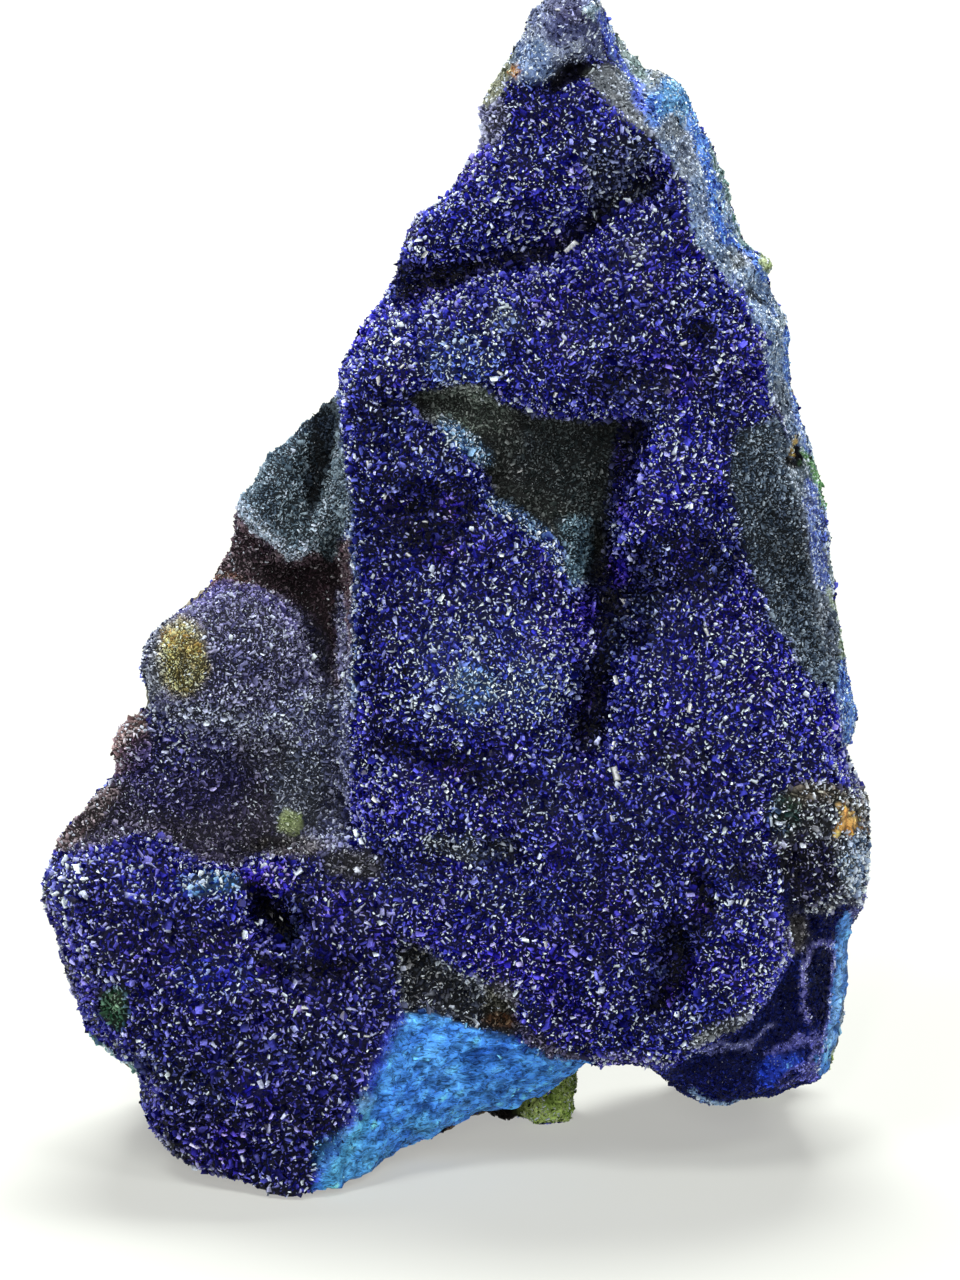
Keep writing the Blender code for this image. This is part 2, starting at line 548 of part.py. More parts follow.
def settled(target, tools):
    """Fix the Boolean result into the mesh and drop the tool objects."""
    graph = bpy.context.evaluated_depsgraph_get()
    result = bpy.data.meshes.new_from_object(target.evaluated_get(graph))
    target.modifiers.clear()
    target.data = result
    for tool in tools:
        bpy.data.objects.remove(tool, do_unlink=True)


def rock_material():
    material = bpy.data.materials.new("azurite")
    material.use_nodes = True
    shader = material.node_tree.nodes["Principled BSDF"]
    shader.inputs["Base Color"].default_value = (0.018, 0.016, 0.13, 1.0)
    shader.inputs["Roughness"].default_value = 0.35
    shader.inputs["Metallic"].default_value = 0.0
    return material


def build():
    for old in list(bpy.data.objects):
        bpy.data.objects.remove(old, do_unlink=True)
    rock = object_from(body_mesh(), "azurite_specimen")
    tools = []
    for index, (name, column, up, back, halves) in enumerate(FEET):
        lump = object_from(foot_mesh(column, up, back, halves, 3.0 + 5.0 * index), name)
        boolean(rock, lump, "UNION")
        tools.append(lump)
    slab = bmesh.new()
    bmesh.ops.create_cube(slab, size=0.2)
    for vert in slab.verts:
        vert.co.z -= 0.1
    ground = object_from(slab, "ground_cut")
    boolean(rock, ground, "DIFFERENCE")
    tools.append(ground)
    settled(rock, tools)

    shape = bmesh.new()
    shape.from_mesh(rock.data)
    bmesh.ops.remove_doubles(shape, verts=shape.verts, dist=0.00006)
    bmesh.ops.dissolve_degenerate(shape, edges=shape.edges, dist=0.00003)
    bmesh.ops.triangulate(shape, faces=shape.faces)
    low = Vector([min(vert.co[axis] for vert in shape.verts) for axis in range(3)])
    high = Vector([max(vert.co[axis] for vert in shape.verts) for axis in range(3)])
    middle = (low + high) / 2.0
    for vert in shape.verts:
        vert.co -= Vector((middle.x, middle.y, low.z))
    shape.to_mesh(rock.data)
    shape.free()
    rock.data.materials.clear()
    rock.data.materials.append(rock_material())


build()
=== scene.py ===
import itertools
import math

import bmesh
import bpy
import numpy as np
from mathutils import Matrix, Vector
from mathutils.bvhtree import BVHTree


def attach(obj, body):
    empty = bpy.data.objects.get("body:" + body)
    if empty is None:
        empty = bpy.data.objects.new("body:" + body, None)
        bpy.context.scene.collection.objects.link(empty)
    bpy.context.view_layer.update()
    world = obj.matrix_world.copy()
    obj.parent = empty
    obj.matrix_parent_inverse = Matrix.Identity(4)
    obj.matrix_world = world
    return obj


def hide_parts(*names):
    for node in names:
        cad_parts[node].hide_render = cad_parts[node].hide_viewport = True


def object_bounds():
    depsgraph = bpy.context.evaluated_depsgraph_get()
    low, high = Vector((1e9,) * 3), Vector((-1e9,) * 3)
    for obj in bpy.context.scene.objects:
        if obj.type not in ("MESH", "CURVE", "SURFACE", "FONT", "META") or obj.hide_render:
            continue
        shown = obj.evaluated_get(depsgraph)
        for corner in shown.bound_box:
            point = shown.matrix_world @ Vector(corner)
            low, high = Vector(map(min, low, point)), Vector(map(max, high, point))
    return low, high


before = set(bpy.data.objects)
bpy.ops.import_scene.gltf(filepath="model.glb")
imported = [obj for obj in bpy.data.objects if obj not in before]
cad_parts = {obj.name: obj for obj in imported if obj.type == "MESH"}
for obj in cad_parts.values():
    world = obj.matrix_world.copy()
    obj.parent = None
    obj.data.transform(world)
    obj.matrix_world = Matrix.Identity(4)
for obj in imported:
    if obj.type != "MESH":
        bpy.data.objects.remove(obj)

CAD_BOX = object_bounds()
BOX = [np.array([float(value) for value in corner]) * 1000.0 for corner in CAD_BOX]

# The rock's face frame: grid columns run to the right, grid rows run down the face, and
# back runs away from the viewer into the rock, in millimetres
STEP = 0.08
MIDDLE, FOOT = 455.0, 1203.0
PITCH = math.radians(16.0)
SIN, COS = math.sin(PITCH), math.cos(PITCH)
GROUND = 4.5 * SIN
SHIFT = np.array([-0.12, -22.071, 0.0])
AWAY = np.array([0.0, COS, -SIN])


def to_face(points):
    """Grid column, grid row and back distance of points given in millimetres."""
    moved = points - SHIFT
    rise = moved[:, 2] - GROUND
    up = moved[:, 1] * SIN + rise * COS
    back = moved[:, 1] * COS - rise * SIN
    return moved[:, 0] / STEP + MIDDLE, FOOT - up / STEP, back


def from_face(column, row, back):
    """Point in millimetres of a place on the face."""
    up = (FOOT - row) * STEP
    return np.array([
        (column - MIDDLE) * STEP, back * COS + up * SIN, up * COS - back * SIN + GROUND
    ]) + SHIFT


# Large whole numbers that mix the bits of a cell's place and a seed
MIX_X, MIX_Y, MIX_Z, MIX_SEED, MIX_AGAIN = 374761393, 668265263, 1442695041, 1274126177, 1103515245
HALF_WORD = 65535


def value_noise(points, seed):
    """Smooth noise from -1 to 1 that is the same on each run."""
    cell = np.floor(points).astype(np.int64)
    part = points - cell
    part = part * part * (3.0 - 2.0 * part)

    def corner(dx, dy, dz):
        mixed = (cell[:, 0] + dx) * MIX_X + (cell[:, 1] + dy) * MIX_Y
        mixed = mixed + (cell[:, 2] + dz) * MIX_Z + seed * MIX_SEED
        mixed = (mixed ^ (mixed >> 13)) * MIX_AGAIN
        mixed = mixed ^ (mixed >> 16)
        return (mixed & HALF_WORD) / (HALF_WORD / 2) - 1.0

    total = np.zeros(len(points))
    for dx, dy, dz in itertools.product((0, 1), repeat=3):
        share = part[:, 0] if dx else 1.0 - part[:, 0]
        share = share * (part[:, 1] if dy else 1.0 - part[:, 1])
        share = share * (part[:, 2] if dz else 1.0 - part[:, 2])
        total += share * corner(dx, dy, dz)
    return total


def grain(points, size, seed, octaves=3):
    """Layered noise of the given largest size in millimetres, about -1 to 1."""
    total = np.zeros(len(points))
    weight, whole = 1.0, 0.0
    for octave in range(octaves):
        total += weight * value_noise(points / size + 17.3 * octave, seed + octave)
        whole += weight
        weight *= 0.55
        size *= 0.47
    return total / whole * 1.5


def smooth(value, low, high):
    """Zero below low, one above high and a soft step between."""
    share = np.clip((value - low) / (high - low), 0.0, 1.0)
    return share * share * (3.0 - 2.0 * share)


def linear(red, green, blue):
    """Linear colour of a screen colour given as 0 to 255."""
    values = np.array([red, green, blue]) / 255.0
    return np.where(values <= 0.04045, values / 12.92, ((values + 0.055) / 1.055) ** 2.4)


def line_distance(places, line, closed):
    """Distance of places from a line or a closed outline, in grid steps."""
    line = np.array(line, dtype=float)
    ends = np.roll(line, -1, axis=0) if closed else line[1:]
    starts = line if closed else line[:-1]
    best = np.full(len(places), 1e9)
    for start, end in zip(starts, ends):
        run = end - start
        share = np.clip(((places - start) @ run) / max(float(run @ run), 1e-9), 0.0, 1.0)
        gap = places - (start + share[:, None] * run)
        best = np.minimum(best, np.hypot(gap[:, 0], gap[:, 1]))
    return best


def inside(places, outline):
    outline = np.array(outline, dtype=float)
    within = np.zeros(len(places), dtype=bool)
    for (x0, y0), (x1, y1) in zip(outline, np.roll(outline, -1, axis=0)):
        if y0 == y1:
            continue
        spans = (y0 > places[:, 1]) != (y1 > places[:, 1])
        crossing = x0 + (places[:, 1] - y0) * (x1 - x0) / (y1 - y0)
        within ^= spans & (places[:, 0] < crossing)
    return within


# What covers the face: colour, and the crystals' size in millimetres, cover, roughness,
# share of pale ones that are painted glints, and height. Broken says how much it is the rippled fracture
# face
DRUSE = dict(colour=(39, 41, 116), size=0.35, cover=1.0, rough=0.16, glint=0.13, tall=1.0,
             broken=0.0)
BACK_DRUSE = dict(DRUSE, colour=(26, 30, 92), size=0.34, glint=0.08, tall=0.85, cover=0.9)
DULL = dict(size=0.32, cover=0.88, rough=0.50, glint=0.16, tall=0.55)


def look(red, green, blue, **other):
    """Colour of a zone's druse, with what else differs there."""
    return dict(other, colour=(red, green, blue))


def crust(red, green, blue, broken=0.0):
    """Low dull crust in place of a druse."""
    return dict(DULL, colour=(red, green, blue), broken=broken)


def pairs(numbers):
    return tuple(zip(numbers[::2], numbers[1::2]))


def area(*numbers):
    """Closed outline, given as column, row, column, row and so on."""
    return ("area", pairs(numbers))


def line(width, *numbers):
    """Stroke of a width, given as column, row, column, row and so on."""
    return ("line", pairs(numbers), width)


def spot(column, row, wide, high):
    return ("spot", column, row, wide, high)


# Each zone has a shape in grid steps, the width of its edge, how strongly it covers, and
# its look. A later zone lies over the earlier ones
ZONES = [
    # upper druse: painted shade in the valley under it, olive patch, grey left edge
    (area(392, 258, 450, 264, 480, 258, 476, 278, 450, 290, 395, 304), 10, 0.85,
     look(12, 11, 30, glint=0.02)),
    (area(470, 258, 560, 238, 600, 205, 640, 190, 655, 180, 640, 214, 600, 228, 560, 254, 500, 272,
     470, 276), 9, 0.6, look(22, 20, 52, glint=0.05)),
    (area(580, 150, 620, 138, 655, 140, 652, 196, 600, 222, 582, 200), 22, 0.75,
     look(48, 54, 64, size=0.38, glint=0.05)),
    (area(470, 98, 500, 92, 508, 120, 498, 145, 470, 150), 6, 0.9,
     look(104, 106, 128, size=0.4, rough=0.45, glint=0.04)),
    (area(400, 205, 425, 205, 418, 232, 398, 250, 392, 246), 6, 0.7,
     look(100, 100, 140, size=0.42, glint=0.05)),
    (spot(465, 165, 26, 14), 8, 0.55, look(92, 86, 170)),
    (spot(578, 180, 12, 14), 6, 0.35, look(72, 62, 170)),
    # second tier: painted highlight on its rims and upper left, and painted shade under it
    (line(10, 395, 312, 450, 298, 480, 288, 520, 281, 562, 266, 590, 248, 620, 218, 650, 208), 8, 0.5,
     look(60, 58, 150, glint=0.14)),
    (spot(462, 358, 38, 26), 18, 0.55, look(88, 112, 180, glint=0.3)),
    (spot(505, 322, 18, 12), 8, 0.4, look(110, 130, 180, glint=0.2)),
    (spot(632, 250, 16, 12), 8, 0.55, look(110, 112, 150, glint=0.1)),
    (spot(745, 350, 26, 50), 16, 0.35, look(56, 50, 150)),
    # painted shade under the second tier
    (spot(650, 382, 90, 22), 20, 0.65, look(18, 18, 52, glint=0.06)),
    (spot(628, 392, 40, 18), 12, 0.45, look(14, 14, 46, glint=0.05)),
    (spot(672, 330, 60, 40), 30, 0.45, look(18, 19, 66, glint=0.08)),
    (spot(420, 330, 44, 22), 16, 0.45, look(56, 60, 150, glint=0.16)),
    (spot(700, 332, 16, 10), 6, 0.8, look(8, 8, 20, glint=0.0)),
    # olive hollow and the groove under it
    (area(408, 398, 436, 386, 478, 385, 505, 402, 540, 416, 600, 420, 645, 420, 640, 440, 612, 470,
     610, 530, 600, 560, 596, 584, 566, 580, 560, 545, 522, 512, 496, 498, 478, 466, 452, 432, 420, 420),
     10, 0.97, look(68, 73, 69, size=0.3, rough=0.42, glint=0.05)),
    (area(520, 420, 645, 425, 622, 470, 610, 540, 570, 510, 520, 480), 24, 0.75,
     look(44, 51, 54, size=0.28)),
    (area(616, 420, 652, 418, 642, 470, 622, 540, 604, 566, 604, 520, 612, 460), 12, 0.9,
     look(18, 18, 56, size=0.34, rough=0.2, glint=0.05)),
    (area(420, 396, 480, 390, 512, 410, 500, 430, 470, 440, 440, 420), 14, 0.9,
     look(120, 130, 124, size=0.28)),
    (area(556, 520, 590, 515, 594, 580, 566, 588), 10, 0.85, look(80, 104, 118, size=0.3)),
    (line(8, 446, 426, 468, 446, 486, 460), 9, 0.7, look(120, 160, 200, glint=0.4)),
    (line(7, 490, 500, 520, 515, 548, 540, 560, 566), 7, 0.7, look(96, 124, 150, size=0.3)),
    (spot(548, 556, 16, 16), 8, 0.4, look(56, 42, 168)),
    # painted shade in the groove
    (area(590, 560, 650, 540, 668, 590, 652, 645, 614, 660, 608, 735, 574, 744, 566, 650, 572, 604), 14,
     0.9, look(12, 13, 42, glint=0.05)),
    # big left bulge: its pale glow is a painted highlight, with painted shade along its edges
    (spot(490, 672, 80, 62), 40, 0.65, look(76, 86, 172, glint=0.2)),
    (spot(522, 690, 26, 24), 14, 0.55, look(104, 128, 210, glint=0.25)),
    # painted shade along the bulge's left edge and under it
    (line(9, 370, 610, 374, 690, 382, 742), 16, 0.6, look(14, 14, 56)),
    (line(11, 378, 744, 420, 756, 468, 768), 10, 0.8, look(9, 9, 40, glint=0.05)),
    (line(9, 462, 774, 500, 790, 530, 780), 9, 0.75, look(10, 10, 42)),
    (spot(415, 792, 44, 26), 14, 0.45, look(56, 56, 152, glint=0.15)),
    # painted highlight on the bulge
    (spot(472, 690, 24, 26), 14, 0.65, look(130, 168, 224, glint=0.35)),
    (spot(560, 640, 34, 22), 14, 0.5, look(72, 66, 180, glint=0.14)),
    # painted shade in the valley beside the left ridge
    (area(348, 400, 400, 400, 450, 440, 470, 500, 450, 560, 360, 570, 346, 480), 36, 0.6,
     look(11, 13, 54, glint=0.08)),
    (area(388, 470, 430, 478, 484, 486, 476, 530, 450, 560, 400, 556), 20, 0.75,
     look(7, 8, 40, glint=0.05)),
    (spot(428, 465, 12, 10), 6, 0.6, look(76, 86, 190)),
    (spot(388, 392, 20, 10), 8, 0.6, look(10, 10, 44)),
    (spot(360, 800, 20, 30), 12, 0.4, look(60, 58, 150, glint=0.12)),
    (line(7, 342, 500, 352, 560, 350, 640, 352, 700), 7, 0.6, look(72, 88, 100, size=0.42)),
    (area(420, 836, 470, 832, 515, 838, 512, 858, 470, 862, 425, 850), 8, 0.7,
     look(98, 108, 114, size=0.38, glint=0.2)),
    (spot(535, 812, 24, 14), 10, 0.6, look(60, 68, 74, size=0.4)),
    # right ridge and bulge: painted highlight on their lit sides and painted shade in the dark creases
    # beside them
    (spot(620, 900, 140, 140), 70, 0.4, look(25, 28, 98, glint=0.09)),
    (spot(684, 464, 40, 46), 24, 0.55, look(64, 64, 172, glint=0.16)),
    (spot(690, 562, 54, 36), 24, 0.75, look(12, 13, 48, glint=0.05)),
    (spot(730, 690, 84, 52), 34, 0.45, look(58, 58, 158, glint=0.16)),
    (spot(664, 756, 26, 14), 10, 0.6, look(16, 16, 52, glint=0.05)),
    (line(8, 742, 672, 764, 690, 780, 702), 8, 0.6, look(16, 16, 56)),
    (spot(825, 722, 24, 20), 10, 0.4, look(40, 28, 150)),
    (spot(686, 758, 24, 16), 10, 0.6, look(44, 50, 56, size=0.4)),
    (spot(745, 872, 20, 12), 7, 0.8, look(14, 15, 22, glint=0.0)),
    (spot(674, 956, 24, 42), 12, 0.85, look(8, 7, 26, glint=0.02)),
    (line(10, 700, 872, 708, 900, 700, 925), 8, 0.85, look(8, 8, 30, glint=0.03)),
    (spot(745, 952, 34, 42), 16, 0.5, look(52, 50, 158)),
    (line(5, 742, 886, 772, 908, 784, 950, 768, 990, 730, 1022), 6, 0.6, look(84, 84, 178, glint=0.16)),
    (spot(662, 1000, 18, 14), 8, 0.8, look(8, 7, 24, glint=0.02)),
    (spot(520, 960, 60, 40), 30, 0.4, look(52, 40, 158)),
    (spot(610, 930, 46, 60), 30, 0.4, look(40, 38, 96)),
    (spot(604, 1062, 70, 8), 7, 0.6, look(70, 66, 100, size=0.42)),
    # grey-green zone towards the right edge
    (area(735, 438, 760, 424, 790, 420, 800, 470, 812, 540, 836, 598, 846, 660, 838, 690, 818, 684,
     798, 660, 770, 616, 752, 570, 738, 520, 728, 480), 9, 0.94,
     look(76, 88, 98, size=0.29, rough=0.42, glint=0.06)),
    (area(760, 500, 800, 500, 820, 580, 790, 600, 764, 560), 18, 0.6, look(48, 54, 60, size=0.29)),
    (area(780, 570, 815, 560, 832, 610, 834, 660, 806, 650), 12, 0.6, look(50, 60, 72, size=0.3)),
    (line(7, 796, 430, 802, 480, 812, 545, 828, 610, 838, 650), 8, 0.7,
     look(90, 98, 110, size=0.34, glint=0.08)),
    # black-green patch near the right edge, with a rusty star
    (area(775, 794, 800, 782, 846, 784, 872, 800, 880, 850, 876, 900, 850, 912, 800, 915, 782, 880,
     772, 836), 9, 0.92, look(72, 74, 76, size=0.38, rough=0.24, glint=0.42)),
    (line(9, 788, 800, 820, 794, 862, 800), 9, 0.75, look(98, 96, 88, size=0.34, glint=0.16)),
    (spot(812, 872, 30, 34), 12, 0.85, look(16, 15, 54, glint=0.04)),
    (spot(784, 812, 16, 26), 9, 0.6, look(58, 82, 76, size=0.4)),
    (spot(812, 790, 30, 9), 7, 0.7, look(118, 112, 104, size=0.36, rough=0.5)),
    (spot(858, 862, 15, 32), 9, 0.8, look(134, 152, 172, rough=0.3, glint=0.4)),
    (area(842, 742, 858, 742, 874, 790, 852, 786), 8, 0.7, look(80, 84, 104, size=0.42, glint=0.16)),
    # terrace at the lower right
    (area(784, 884, 806, 912, 838, 908, 880, 910, 880, 1070, 830, 1120, 670, 1120, 660, 1078, 700, 1052,
     742, 1030, 770, 1008, 792, 962), 6, 0.92,
     look(9, 17, 68, size=0.27, rough=0.34, glint=0.01, tall=0.7)),
    (line(2.4, 838, 944, 824, 952, 810, 964, 806, 985, 806, 1010, 812, 1034), 2, 1.0,
     look(138, 138, 214, size=0.22, glint=0.1, cover=0.6)),
    (line(1.8, 700, 1054, 724, 1046, 752, 1048, 772, 1044), 2, 0.85,
     look(116, 120, 182, size=0.22, cover=0.6)),
    (line(2.2, 770, 1064, 800, 1058, 818, 1048, 828, 1030), 2, 0.85,
     look(116, 118, 206, size=0.22, cover=0.6)),
    (area(812, 962, 836, 950, 838, 1010, 820, 1040, 812, 1010), 6, 0.6, look(7, 10, 40, size=0.25)),
    (spot(782, 1080, 24, 14), 7, 0.85, look(36, 62, 178, size=0.34, cover=0.6)),
    (line(5, 692, 1100, 716, 1106, 742, 1102), 4, 0.9, look(132, 164, 208, size=0.28, cover=0.5)),
    (line(4, 786, 1096, 812, 1082, 828, 1070), 4, 0.6, look(92, 92, 176)),
    (spot(798, 940, 13, 26), 9, 0.8, look(92, 90, 88, size=0.34, glint=0.2)),
    (line(7, 698, 1042, 722, 1030, 744, 1018), 6, 0.75, look(104, 108, 96, size=0.34, rough=0.5)),
    # grey pocket under the left bulge
    (area(398, 938, 430, 948, 450, 966, 484, 982, 500, 996, 522, 1022, 512, 1042, 470, 1030, 432, 1014,
     402, 1020, 394, 980), 9, 0.94, look(82, 86, 92, size=0.36, rough=0.26, glint=0.4)),
    (spot(500, 1004, 18, 24), 9, 0.7, look(100, 98, 72, size=0.32, rough=0.4)),
    (spot(502, 1020, 16, 9), 6, 0.7, look(140, 100, 66, size=0.32, rough=0.4)),
    (line(6, 520, 1026, 548, 1050, 580, 1060), 6, 0.75, look(70, 66, 70, size=0.34, rough=0.5)),
    (spot(412, 955, 12, 16), 7, 0.6, look(26, 30, 30)),
    # brown recess, upper-left pocket, round lobe
    (area(224, 504, 236, 500, 262, 530, 290, 545, 316, 540, 352, 540, 352, 640, 346, 700, 314, 700,
     304, 650, 284, 606, 250, 586, 206, 590, 196, 560), 7, 0.97,
     look(80, 68, 72, size=0.28, rough=0.5, glint=0.14)),
    (area(337, 388, 300, 415, 250, 460, 225, 495, 240, 515, 262, 534, 288, 556, 310, 550, 334, 560,
     350, 520, 343, 440), 6, 0.96, look(84, 98, 106, size=0.28, rough=0.48, glint=0.05)),
    # painted shadow in the cavity beside the pocket's cliff
    (area(310, 410, 336, 396, 338, 440, 322, 480, 312, 520, 302, 480), 7, 0.8,
     look(26, 31, 36, size=0.3, glint=0.02)),
    (line(5, 236, 500, 262, 530, 290, 553, 310, 546), 5, 0.8, look(146, 162, 176, size=0.26, glint=0.12)),
    (line(4, 310, 546, 322, 520, 330, 480, 334, 450), 4, 0.5, look(120, 136, 146, size=0.26)),
    (area(262, 574, 344, 566, 350, 640, 318, 660, 290, 600), 16, 0.65, look(82, 64, 72, size=0.28)),
    (spot(222, 580, 22, 9), 6, 0.7, look(90, 66, 54, size=0.26)),
    (spot(318, 672, 14, 6), 4, 0.8, look(70, 58, 36, size=0.26)),
    (spot(240, 668, 92, 82), 14, 0.97, look(92, 92, 120, size=0.3, rough=0.42, glint=0.12)),
    (line(6, 200, 600, 222, 588, 252, 590, 280, 608, 296, 632), 6, 0.6, look(88, 84, 132, size=0.3)),
    (area(130, 640, 165, 615, 175, 640, 165, 690, 145, 705, 128, 670), 10, 0.8,
     look(86, 90, 90, size=0.3)),
    (spot(185, 657, 25, 37), 14, 0.9, look(136, 128, 80, size=0.22, rough=0.6, glint=0.05)),
    (line(9, 170, 640, 188, 642, 198, 650), 8, 0.6, look(176, 146, 84)),
    (line(3, 176, 640, 186, 656, 178, 672), 6, 0.6, look(60, 56, 44)),
    (line(2, 196, 638, 190, 668), 5, 0.5, look(60, 56, 50)),
    (line(6, 338, 596, 343, 660, 345, 730, 343, 800), 7, 0.75,
     look(102, 106, 142, size=0.34, rough=0.4, glint=0.16)),
    # sloping field under the lobe
    (area(180, 700, 250, 720, 300, 690, 344, 690, 348, 760, 346, 846, 290, 850, 240, 800, 190, 760), 16,
     0.92, look(130, 134, 168, size=0.32, rough=0.38, glint=0.16)),
    (area(316, 700, 346, 690, 348, 840, 322, 840), 10, 0.6, look(100, 106, 150, size=0.34, glint=0.12)),
    (area(146, 700, 250, 706, 240, 770, 150, 765, 140, 730), 12, 0.65, look(80, 84, 98, size=0.32)),
    (area(286, 740, 322, 760, 322, 830, 262, 812), 14, 0.7, look(102, 110, 122, size=0.3)),
    (area(100, 712, 142, 708, 152, 740, 146, 775, 108, 775), 7, 0.85,
     look(98, 80, 66, size=0.32, rough=0.5)),
    # brown slope over the lower-left lobe
    (area(98, 780, 150, 770, 260, 772, 280, 830, 262, 852, 240, 868, 200, 864, 166, 838, 130, 834,
     100, 850, 40, 852, 60, 812), 8, 0.93, look(82, 78, 98, size=0.32, rough=0.38, glint=0.16)),
    (area(44, 850, 60, 812, 100, 784, 124, 790, 92, 830, 62, 850), 8, 0.75,
     look(98, 86, 82, size=0.32, rough=0.5)),
    (spot(190, 772, 66, 46), 26, 0.8, look(62, 60, 112)),
    (spot(262, 752, 30, 22), 14, 0.5, look(72, 68, 66)),
    (spot(290, 822, 13, 14), 4, 0.97, look(186, 204, 146, size=0.22, rough=0.6, glint=0.0, cover=0.7)),
    (spot(290, 848, 40, 12), 9, 0.75, look(92, 88, 72, size=0.3, rough=0.5)),
    (spot(352, 864, 34, 16), 10, 0.8, look(84, 84, 78, size=0.34, rough=0.5, glint=0.14)),
    # lower-left lobe: coarse crystals
    (area(40, 856, 100, 852, 132, 838, 170, 846, 204, 872, 250, 866, 300, 866, 350, 884, 392, 905,
     400, 1020, 366, 1100, 316, 1190, 300, 1230, 160, 1180, 120, 1100, 60, 1040, 20, 900), 12, 1.0,
     look(39, 39, 100, size=0.41, rough=0.18, glint=0.09)),
    # painted highlight on the lobe's upper left
    (area(36, 870, 60, 856, 92, 862, 86, 900, 50, 905), 10, 0.6,
     look(104, 108, 176, size=0.42, glint=0.2)),
    (spot(208, 884, 30, 13), 7, 0.85, look(96, 138, 190, size=0.5, glint=0.15)),
    (spot(196, 880, 12, 6), 5, 0.5, look(170, 180, 190, size=0.5)),
    (spot(268, 878, 26, 16), 7, 0.6, look(50, 40, 165, size=0.4)),
    (spot(222, 905, 24, 16), 10, 0.5, look(50, 54, 160)),
    (spot(150, 882, 46, 22), 14, 0.45, look(54, 58, 156)),
    # painted shade in the pit and in the creases across the lobe
    (line(10, 254, 884, 266, 906, 290, 934), 9, 0.92, look(7, 7, 24, glint=0.02)),
    (spot(300, 912, 14, 24), 10, 0.6, look(10, 10, 36, glint=0.04)),
    (line(9, 262, 962, 300, 974, 350, 964), 8, 0.8, look(10, 9, 34, glint=0.04)),
    (line(8, 168, 930, 192, 940, 226, 936), 8, 0.6, look(14, 14, 52)),
    (line(8, 92, 964, 108, 986, 100, 1012), 7, 0.6, look(12, 14, 44)),
    (line(9, 146, 1064, 180, 1078, 220, 1082), 9, 0.7, look(12, 11, 42)),
    (spot(215, 975, 40, 22), 14, 0.55, look(50, 60, 160)),
    # painted shade on the lobe's lower part
    (spot(230, 1132, 90, 50), 34, 0.6, look(16, 13, 62, glint=0.06)),
    (spot(250, 1090, 20, 12), 7, 0.5, look(74, 70, 180, size=0.6)),
    (spot(115, 1009, 14, 22), 5, 0.92, look(50, 78, 58, size=0.4, rough=0.35, glint=0.04)),
    (spot(118, 1000, 5, 10), 3, 0.7, look(108, 134, 112, size=0.3)),
    (line(8, 88, 1044, 102, 1056, 118, 1068, 130, 1070), 5, 0.85,
     look(146, 184, 172, size=0.3, rough=0.5)),
    (area(38, 880, 36, 905, 50, 940, 68, 1000, 80, 1000, 64, 950, 50, 900), 5, 0.5,
     look(84, 84, 92, size=0.4)),
    (area(140, 1110, 150, 1130, 200, 1168, 300, 1195, 300, 1210, 180, 1180, 130, 1120), 7, 0.6,
     look(70, 72, 84, size=0.45)),
    # tip: a low dull crust instead of a druse
    (area(535, -20, 604, -20, 606, 10, 604, 60, 590, 58, 560, 68, 545, 84, 516, 84, 506, 66, 490, 96,
     474, 96, 495, 60), 5, 0.95, crust(116, 126, 156)),
    (area(472, 100, 492, 62, 512, 40, 520, 60, 506, 92, 484, 108), 6, 0.85, crust(142, 146, 116)),
    (spot(532, 64, 20, 24), 8, 0.7, crust(96, 120, 160)),
    (area(545, 14, 600, 4, 602, 46, 588, 56, 560, 44, 540, 36), 12, 0.75, crust(66, 70, 112)),
    (line(3, 528, 30, 546, 44, 560, 60), 5, 0.6, crust(150, 162, 190)),
    (area(546, -4, 584, -4, 592, 22, 576, 30, 556, 22, 546, 10), 7, 0.75, crust(40, 38, 66)),
    (spot(560, 40, 12, 8), 6, 0.6, crust(40, 44, 80)),
    (spot(538, 52, 8, 12), 6, 0.5, crust(70, 92, 128)),
    (spot(578, 50, 9, 6), 5, 0.6, crust(150, 160, 184)),
    (spot(594, 12, 10, 10), 4, 0.6, crust(168, 194, 204)),
    (spot(515, 72, 4, 6), 2, 0.9, crust(196, 140, 92)),
    # painted shade in the cavity under the cap's lip
    (area(546, 84, 556, 66, 582, 60, 598, 70, 584, 80, 562, 88, 552, 100), 4, 0.95, crust(6, 6, 12)),
    (area(582, 76, 604, 62, 622, 74, 640, 110, 652, 140, 640, 132, 622, 118, 600, 92), 6, 0.75,
     crust(130, 137, 132)),
    # right flank: grey band, bright seam, green edge
    (area(606, 20, 630, -10, 660, 60, 720, 110, 750, 240, 800, 300, 806, 400, 824, 440, 816, 470,
     794, 428, 770, 400, 766, 340, 742, 300, 716, 268, 694, 240, 690, 196, 660, 150, 640, 112, 612, 60),
     5, 0.95, crust(122, 146, 180)),
    (spot(690, 160, 16, 30), 10, 0.6, crust(112, 116, 124)),
    (spot(708, 214, 10, 24), 8, 0.5, crust(104, 116, 150)),
    (spot(735, 262, 14, 24), 8, 0.5, crust(96, 104, 104)),
    (spot(778, 350, 12, 40), 10, 0.6, crust(136, 160, 190)),
    (spot(782, 404, 12, 16), 8, 0.5, crust(112, 116, 112)),
    (line(4, 602, 14, 610, 34, 619, 58, 633, 84, 644, 112), 4, 0.92, crust(82, 100, 206)),
    (area(622, 26, 640, 50, 646, 72, 652, 96, 640, 86, 626, 60, 616, 36), 4, 0.85, crust(118, 136, 128)),
    (spot(664, 76, 17, 12), 4, 0.9, crust(116, 122, 118)),
    (spot(672, 106, 26, 18), 6, 0.95, crust(88, 140, 190, 0.2)),
    (spot(655, 112, 10, 18), 5, 0.8, crust(70, 112, 196)),
    (spot(684, 94, 9, 7), 4, 0.6, crust(158, 190, 208)),
    (spot(672, 134, 20, 9), 5, 0.6, crust(132, 136, 134)),
